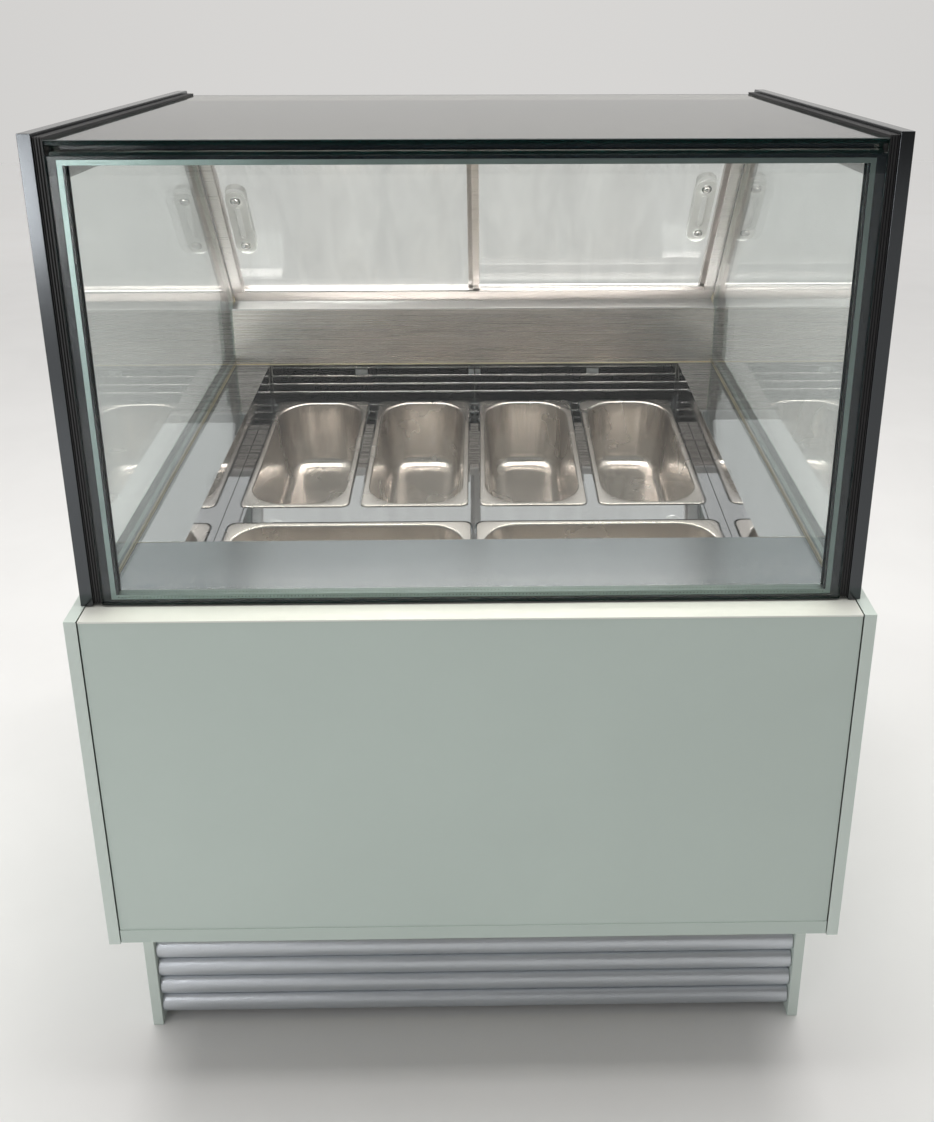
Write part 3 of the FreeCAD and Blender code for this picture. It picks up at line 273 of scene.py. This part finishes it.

# The front and roof panes have a lower index than real glass (1.5), to mirror the room less;
# the roof's dark tint is painted shade that only the eye sees, and lamps shine through its paler
# colour.
GLASS = glazing("clear float", (0.965, 0.982, 0.976))
FRONT_FLOAT = glazing("coated clear float", (0.965, 0.982, 0.976), bend=1.25)
ROOF_GLASS_PAINTED_SHADE = glazing("roof float, painted shade", (0.46, 0.46, 0.43), bend=1.22, shade=(0.92, 0.92, 0.90))
FILMED = glazing("filmed clear sheet", (0.975, 0.955, 0.935), 0.14, 0.8, (26.0, 9.0, 3.0))
FROSTED = glazing("frosted handle plastic", (0.88, 0.88, 0.87), 0.5)
GLASS_EDGE = painted("green glass edge", (0.003, 0.014, 0.013), 0.06, 0.12, 0.02, 200.0)


# ---- mesh tools -----------------------------------------------------------------------
def new_piece(name, mesh, *materials, sharp=35.0):
    """Put a finished mesh in the scene, smooth apart from its sharp edges."""
    piece = bpy.data.objects.new(name, mesh)
    scene.collection.objects.link(piece)
    for material in materials:
        mesh.materials.append(material)
    mesh.polygons.foreach_set("use_smooth", [True] * len(mesh.polygons))
    mesh.set_sharp_from_angle(angle=math.radians(sharp))
    return piece


def settled(piece):
    """Apply a piece's modifiers, so that it is a plain mesh."""
    graph = bpy.context.evaluated_depsgraph_get()
    mesh = bpy.data.meshes.new_from_object(piece.evaluated_get(graph))
    piece.modifiers.clear()
    piece.data = mesh
    return piece


def merged_copy(node):
    """A CAD node's mesh as clean flat faces in place of loose triangles."""
    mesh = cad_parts[node].data.copy()
    mesh.materials.clear()
    shape = bmesh.new()
    shape.from_mesh(mesh)
    bmesh.ops.remove_doubles(shape, verts=shape.verts, dist=2e-6)
    bmesh.ops.dissolve_limit(shape, angle_limit=math.radians(0.5), verts=shape.verts,
                             edges=shape.edges)
    shape.to_mesh(mesh)
    shape.free()
    for polygon in mesh.polygons:
        polygon.material_index = 0
    return mesh


def eased(node, width, *materials, body="cabinet", segments=2):
    """A CAD node with its folds and edges rounded over; stands for the node."""
    piece = new_piece(node + "_eased", merged_copy(node), *materials)
    bevel = piece.modifiers.new("edges", "BEVEL")
    bevel.width = width
    bevel.segments = segments
    bevel.limit_method = "ANGLE"
    bevel.angle_limit = math.radians(32)
    bevel.harden_normals = True
    settled(piece)
    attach(piece, body)
    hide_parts(node)
    return piece


def finish(material, *nodes):
    """Give CAD nodes kept as they are their finish."""
    for node in nodes:
        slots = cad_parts[node].data.materials
        slots.clear()
        slots.append(material)


# ---- camera, light and floor ----------------------------------------------------------
EYE = Vector((0.01137, -1.53770, 1.41996))
LOOK_DOWN, ROLL, HEADING = 17.911, 0.067, -0.857      # degrees
LENS, SHIFT_X, SHIFT_Y = 34.015, -0.02514, -0.18488
camera = bpy.data.objects.new("camera", bpy.data.cameras.new("camera"))
camera.location = EYE
camera.rotation_euler = [math.radians(turn) for turn in (90 - LOOK_DOWN, ROLL, HEADING)]
camera.data.lens = LENS
camera.data.shift_x = SHIFT_X
camera.data.shift_y = SHIFT_Y
camera.data.clip_start = 0.05
scene.collection.objects.link(camera)
scene.camera = camera

scene.view_settings.view_transform = "Standard"

world = bpy.data.worlds.new("studio")
world.use_nodes = True
sky = world.node_tree
background = sky.nodes["Background"]
background.inputs["Color"].default_value = (1.0, 0.985, 0.965, 1.0)
heading = put(sky, "ShaderNodeSeparateXYZ",
              Vector=put(sky, "ShaderNodeTexCoord").outputs["Generated"])
sides = [("Y", -1.0, 1.0, 0.02, 0.68), ("Z", 0.0, 0.9, 0.0, 0.24)]
levels = []
for axis, start, end, dim, bright in sides:
    ramp = put(sky, "ShaderNodeMapRange", Value=heading.outputs[axis])
    for socket, value in zip(("From Min", "From Max", "To Min", "To Max"),
                             (start, end, dim, bright)):
        ramp.inputs[socket].default_value = value
    levels.append(ramp.outputs["Result"])
glow = put(sky, "ShaderNodeMath", {"operation": "ADD"})
sky.links.new(levels[0], glow.inputs[0])
sky.links.new(levels[1], glow.inputs[1])
sky.links.new(glow.outputs[0], background.inputs["Strength"])
scene.world = world


def softbox(name, place, aim, width, height, watts, colour=(1.0, 1.0, 1.0)):
    """A rectangular lamp that the camera itself doesn't see."""
    light = bpy.data.lights.new(name, "AREA")
    light.shape = "RECTANGLE"
    light.size, light.size_y = width, height
    light.energy = watts
    light.color = colour
    lamp = bpy.data.objects.new(name, light)
    lamp.location = place
    way = Vector(aim) - Vector(place)
    lamp.rotation_euler = way.to_track_quat("-Z", "Y").to_euler()
    lamp.visible_camera = False
    scene.collection.objects.link(lamp)


softbox("overhead", (0.0, 0.1, 3.4), (0.0, 0.1, 0.0), 3.0, 1.9, 108.0, (1.0, 0.98, 0.95))
softbox("front_left", (-2.06, -3.0, 0.78), (-0.4, -0.4, 0.7), 1.0, 0.5, 22.0)
lamp_low, lamp_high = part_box("lamp_bar")
softbox("cabinet_lamp", (0.0, (lamp_low.y + lamp_high.y) / 2 + 0.004, lamp_low.z - 0.004),
        (0.0, 0.12, 0.72), 0.84, 0.02, 1.3, (1.0, 0.90, 0.84))

FLOOR_HALF = 9.0
GLOW_START, GLOW_END, GLOW = 1.2, 6.0, 0.22     # the far floor glows, to meet the sky

floor_mesh = bpy.data.meshes.new("floor")
floor_shape = bmesh.new()
bmesh.ops.create_grid(floor_shape, x_segments=1, y_segments=1, size=FLOOR_HALF)
floor_shape.to_mesh(floor_mesh)
floor_shape.free()
FLOOR = painted("pale floor", (0.78, 0.78, 0.78), 0.7, 0.8, 0.05, 60.0)
floor_tree = FLOOR.node_tree
away = put(floor_tree, "ShaderNodeVectorMath", {"operation": "LENGTH"})
floor_tree.links.new(put(floor_tree, "ShaderNodeTexCoord").outputs["Object"], away.inputs[0])
haze = put(floor_tree, "ShaderNodeMapRange", Value=away.outputs["Value"])
for socket, value in zip(("From Min", "From Max", "To Min", "To Max"),
                         (GLOW_START, GLOW_END, 0.0, GLOW)):
    haze.inputs[socket].default_value = value
floor_shader = floor_tree.nodes["Principled BSDF"]
floor_shader.inputs["Emission Color"].default_value = (1.0, 0.985, 0.965, 1.0)
floor_tree.links.new(haze.outputs["Result"], floor_shader.inputs["Emission Strength"])
floor = new_piece("floor", floor_mesh, FLOOR)


# ---- painted cabinet ------------------------------------------------------------------
for side in ("left", "right"):
    eased(side + "_side_panel", 0.8 * MM, WHITE_PAINT)
    eased(side + "_plinth", 1.0 * MM, WHITE_PAINT)
    eased(side + "_end_frame", 0.7 * MM, DARK_ANODISED)
    eased(side + "_deck_strip", 0.3 * MM, MIRROR_STEEL)
eased("front_panel", 0.25 * MM, SHADED_FRONT_PAINT)
eased("front_ledge", 0.25 * MM, LIT_LEDGE_PAINT)
finish(WHITE_PAINT, "rear_panel")
eased("front_apron", 0.3 * MM, SHADED_APRON_STEEL)
eased("back_wall", 0.2 * MM, WALL_STEEL)
eased("sill_track", 0.4 * MM, PALE_ALUMINIUM)
eased("head_track", 0.4 * MM, PALE_ALUMINIUM)
eased("door_jambs", 0.4 * MM, PALE_ALUMINIUM)
eased("lamp_bar", 0.5 * MM, PALE_ALUMINIUM)
eased("frame_gaskets", 0.2 * MM, RUBBER)
eased("control_panel", 0.5 * MM, PLASTIC)

finish(ZINC, "base_tray", "condenser_fan_housing", "evaporator_fan_housing",
       "drain_tray_and_pipe")
finish(PLASTIC, "levelling_feet", "power_inlet", "condenser_fan", "left_evaporator_fan",
       "right_evaporator_fan")
finish(FOAM, "foam_tub")
finish(WELL_STEEL, "well_liner")
finish(CHROME, "vent_grille")
finish(MIRROR_STEEL, "pan_support")
finish(FINS, "evaporator_coil", "condenser_coil")
finish(BLACK_PAINT, "compressor")
finish(COPPER, "refrigerant_pipes")
finish(CHROME, "cabinet_screws")
finish(PLASTIC, "key_set", "key_up", "key_down", "power_rocker", "lamp_rocker")


# ---- what repeats ---------------------------------------------------------------------
def shape_tree(name, inputs):
    """A geometry tree with named inputs; returns it, its inputs and its end socket."""
    tree = bpy.data.node_groups.new(name, "GeometryNodeTree")
    tree.interface.new_socket("Geometry", in_out="INPUT", socket_type="NodeSocketGeometry")
    for label, kind in inputs:
        tree.interface.new_socket(label, in_out="INPUT", socket_type="NodeSocket" + kind)
    tree.interface.new_socket("Geometry", in_out="OUTPUT", socket_type="NodeSocketGeometry")
    given = tree.nodes.new("NodeGroupInput").outputs
    return tree, given, tree.nodes.new("NodeGroupOutput").inputs[0]


def closed_off(tree, geometry, material, end):
    """Realise the instances, set the material and end the tree."""
    real = put(tree, "GeometryNodeRealizeInstances", Geometry=geometry)
    painted_over = put(tree, "GeometryNodeSetMaterial", Geometry=real.outputs[0])
    tree.links.new(material, painted_over.inputs["Material"])
    tree.links.new(painted_over.outputs[0], end)


def grown(name, tree, carrier, material, body="cabinet", **sizes):
    """Run a geometry tree on a carrier mesh and keep the result as a plain mesh."""
    piece = bpy.data.objects.new(name, carrier)
    scene.collection.objects.link(piece)
    modifier = piece.modifiers.new("shape", "NODES")
    modifier.node_group = tree
    for item in tree.interface.items_tree:
        if item.in_out == "INPUT" and item.name in sizes:
            modifier[item.identifier] = sizes[item.name]
        elif item.in_out == "INPUT" and item.name == "Material":
            modifier[item.identifier] = material
    settled(piece)
    piece.data.polygons.foreach_set("use_smooth", [True] * len(piece.data.polygons))
    piece.data.set_sharp_from_angle(angle=math.radians(35))
    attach(piece, body)
    return piece


def slat_tree():
    """Bowed slats, one above another."""
    tree, given, end = shape_tree("bowed slats", [
        ("Count", "Int"), ("Pitch", "Float"), ("First", "Vector"), ("Profile", "Vector"),
        ("Left End", "Vector"), ("Right End", "Vector"), ("Material", "Material")])
    arc = put(tree, "GeometryNodeCurveArc", Resolution=17, Radius=1.0)
    arc.inputs["Start Angle"].default_value = 0.0
    arc.inputs["Sweep Angle"].default_value = math.pi
    closed = put(tree, "GeometryNodeSetSplineCyclic", Geometry=arc.outputs["Curve"], Cyclic=True)
    bowed = put(tree, "GeometryNodeTransform", Geometry=closed.outputs[0], Scale=given["Profile"])
    line = put(tree, "GeometryNodeCurvePrimitiveLine", Start=given["Left End"],
               End=given["Right End"])
    slat = put(tree, "GeometryNodeCurveToMesh", Curve=line.outputs[0],
               Profile_Curve=bowed.outputs[0], Fill_Caps=True)
    upright = put(tree, "GeometryNodeTransform", Geometry=slat.outputs[0],
                  Rotation=(-math.pi / 2, 0.0, 0.0))
    step = put(tree, "ShaderNodeCombineXYZ", Z=given["Pitch"])
    row = put(tree, "GeometryNodeMeshLine", Count=given["Count"], Start_Location=given["First"],
              Offset=step.outputs[0])
    laid = put(tree, "GeometryNodeInstanceOnPoints", Points=row.outputs[0],
               Instance=upright.outputs[0])
    closed_off(tree, laid.outputs[0], given["Material"], end)
    return tree


def dot_tree():
    """Small round perforations in a straight row, facing one way."""
    tree, given, end = shape_tree("row of perforations", [
        ("Count", "Int"), ("Start", "Vector"), ("Step", "Vector"), ("Radius", "Float"),
        ("Facing", "Vector"), ("Material", "Material")])
    dot = put(tree, "GeometryNodeMeshCylinder", Vertices=8, Radius=given["Radius"],
              Depth=0.1 * MM)
    row = put(tree, "GeometryNodeMeshLine", Count=given["Count"], Start_Location=given["Start"],
              Offset=given["Step"])
    turned = put(tree, "FunctionNodeEulerToRotation", Euler=given["Facing"])
    laid = put(tree, "GeometryNodeInstanceOnPoints", Points=row.outputs[0],
               Instance=dot.outputs[0], Rotation=turned.outputs[0])
    closed_off(tree, laid.outputs[0], given["Material"], end)
    return tree


slats_low, slats_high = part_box("plinth_louvres")
slat_middle = slats_low.z + SLAT_HEIGHT / 2 + 0.8 * MM
slats = grown(
    "slats", slat_tree(), bpy.data.meshes.new("slats"), HAMMERED, Count=SLAT_COUNT,
    Pitch=SLAT_PITCH, First=(0.0, slats_low.y + SLAT_BULGE, slat_middle),
    Profile=(SLAT_HEIGHT / 2, SLAT_BULGE, 1.0), **{"Left End": (slats_low.x, 0.0, 0.0),
                                                   "Right End": (slats_high.x, 0.0, 0.0)})
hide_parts("plinth_louvres")


def bars(name, boxes, material, width=0.2 * MM, body="cabinet"):
    """Square bars with broken edges, each given as low and high corner, as one piece."""
    shape = bmesh.new()
    for low, high in boxes:
        low, high = Vector(low), Vector(high)
        cube = bmesh.ops.create_cube(shape, size=1.0)["verts"]
        bmesh.ops.scale(shape, vec=high - low, verts=cube)
        bmesh.ops.translate(shape, vec=(low + high) / 2, verts=cube)
    mesh = bpy.data.meshes.new(name)
    shape.to_mesh(mesh)
    shape.free()
    piece = new_piece(name, mesh, material)
    bevel = piece.modifiers.new("edges", "BEVEL")
    bevel.width = width
    bevel.segments = 2
    settled(piece)
    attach(piece, body)
    return piece


STRIP_PLACES, STRIP_HALF = (-0.4515, 0.0, 0.4515), 8 * MM
strip_y = slats_low.y + SLAT_BULGE + 1.6 * MM
bars("slat_strips", [((x - STRIP_HALF, strip_y, slats_low.z + 2 * MM),
                      (x + STRIP_HALF, strip_y + 1.9 * MM, slats_high.z - 2 * MM))
                     for x in STRIP_PLACES], ZINC)


# ---- the cold-air slot behind the pans ---------------------------------------------------
# Looks only: the screen stands for the duct's shadow. The part itself is open here.
WELL_X, WALL_Y = 376.7 * MM, FRONT + 771 * MM
SCREEN_LOW, SCREEN_HIGH = 0.700, 0.818
BRACKET_PLACES, BRACKET_HALF = (-0.21, 0.0, 0.22), 11 * MM
BRACKET_LOW, BRACKET_HIGH = 0.772, 0.786
bars("slot_screen", [((-WELL_X + 1.5 * MM, WALL_Y + 14 * MM, SCREEN_LOW),
                      (WELL_X - 1.5 * MM, WALL_Y + 15.5 * MM, SCREEN_HIGH))],
     SHADED_STEEL, 0.1 * MM)
bars("slot_brackets", [((x - BRACKET_HALF, WALL_Y + 10.5 * MM, BRACKET_LOW),
                        (x + BRACKET_HALF, WALL_Y + 13.8 * MM, BRACKET_HIGH))
                       for x in BRACKET_PLACES], ZINC)


# ---- edges of the front glass unit ----------------------------------------------------
OUTER_BACK, INNER_FRONT = FRONT + 35.15 * MM, FRONT + 46.85 * MM     # the gap between panes
SPACER_X, SPACER_LOW, SPACER_HIGH = 431 * MM, 751.05 * MM, 1272.5 * MM
SPACER_W = 6 * MM
SEAL_OUT, SEAL_LOW, HEAD_Z = 441.8 * MM, SPACER_LOW - 4.5 * MM, 1276.2 * MM
BUTYL_IN, BUTYL_OUT, BUTYL_T = 2.6 * MM, 0.2 * MM, 1.2 * MM

edge_bars = []
for sign in (-1, 1):
    seal = sorted((sign * (SPACER_X + 0.2 * MM), sign * SEAL_OUT))
    butyl = sorted(sign * (SPACER_X - SPACER_W - inset) for inset in (BUTYL_OUT, BUTYL_IN))
    edge_bars.append(((seal[0], OUTER_BACK, SEAL_LOW), (seal[1], INNER_FRONT, HEAD_Z)))
    for y in (OUTER_BACK, INNER_FRONT - BUTYL_T):
        edge_bars.append(((butyl[0], y, SPACER_LOW + SPACER_W),
                          (butyl[1], y + BUTYL_T, SPACER_HIGH - SPACER_W)))
edge_bars.append(((-SPACER_X, OUTER_BACK, SEAL_LOW),
                  (SPACER_X, INNER_FRONT, SPACER_LOW - 0.2 * MM)))
edge_bars.append(((-SPACER_X, OUTER_BACK, SPACER_HIGH + 0.2 * MM), (SPACER_X, INNER_FRONT, HEAD_Z)))
bars("front_sealant", edge_bars, SEALANT, 0.1 * MM)
spacers = eased("glass_spacers", 0.15 * MM, SPACER, SEALANT, segments=1)
for polygon in spacers.data.polygons:
    polygon.material_index = int(polygon.center.z > SPACER_HIGH - SPACER_W - 1 * MM)

DOT_PITCH, DOT_RADIUS = 4.2 * MM, 0.62 * MM
dots = dot_tree()
dot_count = int(2 * (SPACER_X - SPACER_W) / DOT_PITCH)
first_dot = -DOT_PITCH * (dot_count - 1) / 2
for name, y, z, facing in (
        ("front", OUTER_BACK - 0.1 * MM, SPACER_LOW + SPACER_W / 2, (math.pi / 2, 0.0, 0.0)),
        ("top", (OUTER_BACK + INNER_FRONT) / 2, SPACER_LOW + SPACER_W, (0.0, 0.0, 0.0))):
    grown("spacer_perforations_" + name, dots, bpy.data.meshes.new("dots"), SEALANT,
          Count=dot_count, Start=(first_dot, y, z), Step=(DOT_PITCH, 0.0, 0.0),
          Radius=DOT_RADIUS, Facing=facing)


# ---- glass ----------------------------------------------------------------------------
def pane(node, across, glass, body="cabinet"):
    """A glass node with ground edges: clear faces and a deep green rim."""
    piece = eased(node, 0.5 * MM, glass, GLASS_EDGE, body=body, segments=1)
    for polygon in piece.data.polygons:
        polygon.material_index = 0 if abs(polygon.normal.dot(Vector(across))) > 0.95 else 1
    return piece


pane("front_glass", (0, 1, 0), FRONT_FLOAT)
pane("roof_glass", (0, 0, 1), ROOF_GLASS_PAINTED_SHADE)
ACROSS_DOOR = Vector((0.0, math.cos(DOOR_LEAN), math.sin(DOOR_LEAN)))
UP_DOOR = Vector((0.0, -math.sin(DOOR_LEAN), math.cos(DOOR_LEAN)))
for side in ("left", "right"):
    pane(side + "_side_glass", (1, 0, 0), GLASS)


def door_pane(side):
    """Clear inner face, and an outer face still in its protective film."""
    piece = pane(side + "_door_pane", ACROSS_DOOR, GLASS, body=side + "_door")
    piece.data.materials.append(FILMED)
    for polygon in piece.data.polygons:
        if polygon.normal.dot(ACROSS_DOOR) > 0.95:
            polygon.material_index = 2
    return piece


NUT_REACH, NUT_RADIUS, NUT_HEIGHT = 51 * MM, 9.5 * MM, 7.4 * MM


def door_handle(side):
    """The handle's plate and pull are frosted plastic; its washers and dome nuts are bright."""
    piece = eased(side + "_door_handle", 0.3 * MM, FROSTED, CHROME, body=side + "_door")
    points = [polygon.center for polygon in piece.data.polygons]
    low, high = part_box(side + "_door_handle")
    middle = (low + high) / 2
    inner = min(point.dot(ACROSS_DOOR) for point in points)
    for polygon in piece.data.polygons:
        up = abs((polygon.center - middle).dot(UP_DOOR))
        off = (polygon.center - middle).x
        nut = math.hypot(off, up - NUT_REACH) < NUT_RADIUS
        if nut and polygon.center.dot(ACROSS_DOOR) < inner + NUT_HEIGHT:
            polygon.material_index = 1
    return piece


for side in ("left", "right"):
    door_pane(side)
    door_handle(side)
    eased(side + "_door_frame", 0.5 * MM, PALE_ALUMINIUM, body=side + "_door")


# ---- pans -----------------------------------------------------------------------------
def round_rectangle(wide, long, radius, height, arc=12, run=8):
    """Points round a rectangle with round corners; every ring has the same count."""
    points = []
    corners = [(1, 1, 0), (-1, 1, 90), (-1, -1, 180), (1, -1, 270)]
    for sx, sy, start in corners:
        cx, cy = sx * (wide / 2 - radius), sy * (long / 2 - radius)
        for k in range(arc + 1):
            turn = math.radians(start + 90 * k / arc)
            points.append(Vector((cx + radius * math.cos(turn), cy + radius * math.sin(turn),
                                  height)))
    ring = []
    for k, point in enumerate(points):
        ring.append(point)
        if k % (arc + 1) == arc:
            following = points[(k + 1) % len(points)]
            ring += [point.lerp(following, j / run) for j in range(1, run)]
    return ring


def pan_rings(wide, long):
    """Rings from the middle of the floor up the inside, over the rim and back below."""
    mouth, taper, wall, rim = 10 * MM, 9 * MM, 0.8 * MM, 9 * MM
    mouth_corner, floor_corner, rim_corner = 52 * MM, 46 * MM, 12 * MM
    rings = []

    def ring(inset, radius, height):
        rings.append(round_rectangle(wide - 2 * inset, long - 2 * inset, radius, height))

    def bowl(grow, order):
        """The inside (grow 0) or outside of the bowl, from the floor up or down again."""
        depth = PAN_DEEP - wall + grow
        bend = 20 * MM + grow
        side = mouth + taper - grow
        levels = [(side + bend + 12 * MM, 18 * MM, -depth + 0.25 * MM),
                  (side + bend + 4 * MM, 24 * MM, -depth)]
        for k in range(9):
            turn = math.radians(90 * k / 8)
            levels.append((side + bend * (1 - math.sin(turn)), floor_corner + grow
                           - bend * (1 - math.sin(turn)) * 0.9,
                           -depth + bend * (1 - math.cos(turn))))
        for k in range(1, 7):
            share = k / 6
            climb = (depth - bend - 4 * MM) * share
            levels.append((side - taper * share, (46 + 6 * share) * MM + grow,
                           -depth + bend + climb))
        for level in levels[::order]:
            ring(*level)

    bowl(0.0, 1)
    for k in range(1, 5):
        turn = math.radians(90 * k / 4)
        lean = 3.2 * MM * (1 - math.cos(turn))
        ring(mouth - lean, mouth_corner + lean, -4 * MM + 4 * MM * math.sin(turn))
    ring(4 * MM, 22 * MM, 0.0)
    for k in range(5):
        turn = math.radians(90 * k / 4)
        ring(2.2 * MM * (1 - math.sin(turn)), rim_corner, -2.2 * MM * (1 - math.cos(turn)))
    ring(0.0, rim_corner, -rim)
    ring(wall, 11.2 * MM, -rim)
    ring(wall, 11.2 * MM, -2.4 * MM)
    ring(2.4 * MM, 10 * MM, -wall)
    ring(6.5 * MM, 40 * MM, -wall)
    bowl(wall, -1)
    return rings


def pressed_pan(name, x, s, wide, long):
    """A deep pan pressed from sheet, with a turned-down rim, laid on the pans' slope."""
    shape = bmesh.new()
    rings = [[shape.verts.new(point) for point in ring] for ring in pan_rings(wide, long)]
    for low, high in zip(rings, rings[1:]):
        for k in range(len(low)):
            j = (k + 1) % len(low)
            shape.faces.new((low[k], low[j], high[j], high[k]))
    shape.faces.new(list(reversed(rings[0])))
    shape.faces.new(rings[-1])
    bmesh.ops.recalc_face_normals(shape, faces=shape.faces)
    shape.transform(Matrix.Translation((0, PAN_ROW_Y, PAN_ROW_Z))
                    @ Matrix.Rotation(PAN_LEAN, 4, "X")
                    @ Matrix.Translation((x, s + long / 2, 0)))
    mesh = bpy.data.meshes.new(name)
    shape.to_mesh(mesh)
    shape.free()
    piece = new_piece(name + "_pressed", mesh, PAN_STEEL)
    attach(piece, name)
    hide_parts(name)
    return piece


for k, letter in enumerate("abcd"):
    pressed_pan("back_pan_" + letter, (k - 1.5) * NARROW_PITCH, 0.0, PAN_WIDE, PAN_LONG)
for side, letter in ((-1, "a"), (1, "b")):
    pressed_pan("front_pan_" + letter, side * WIDE_X, FRONT_ROW_S, PAN_LONG, PAN_WIDE)


def corners(box):
    return [list(corner) for corner in box]
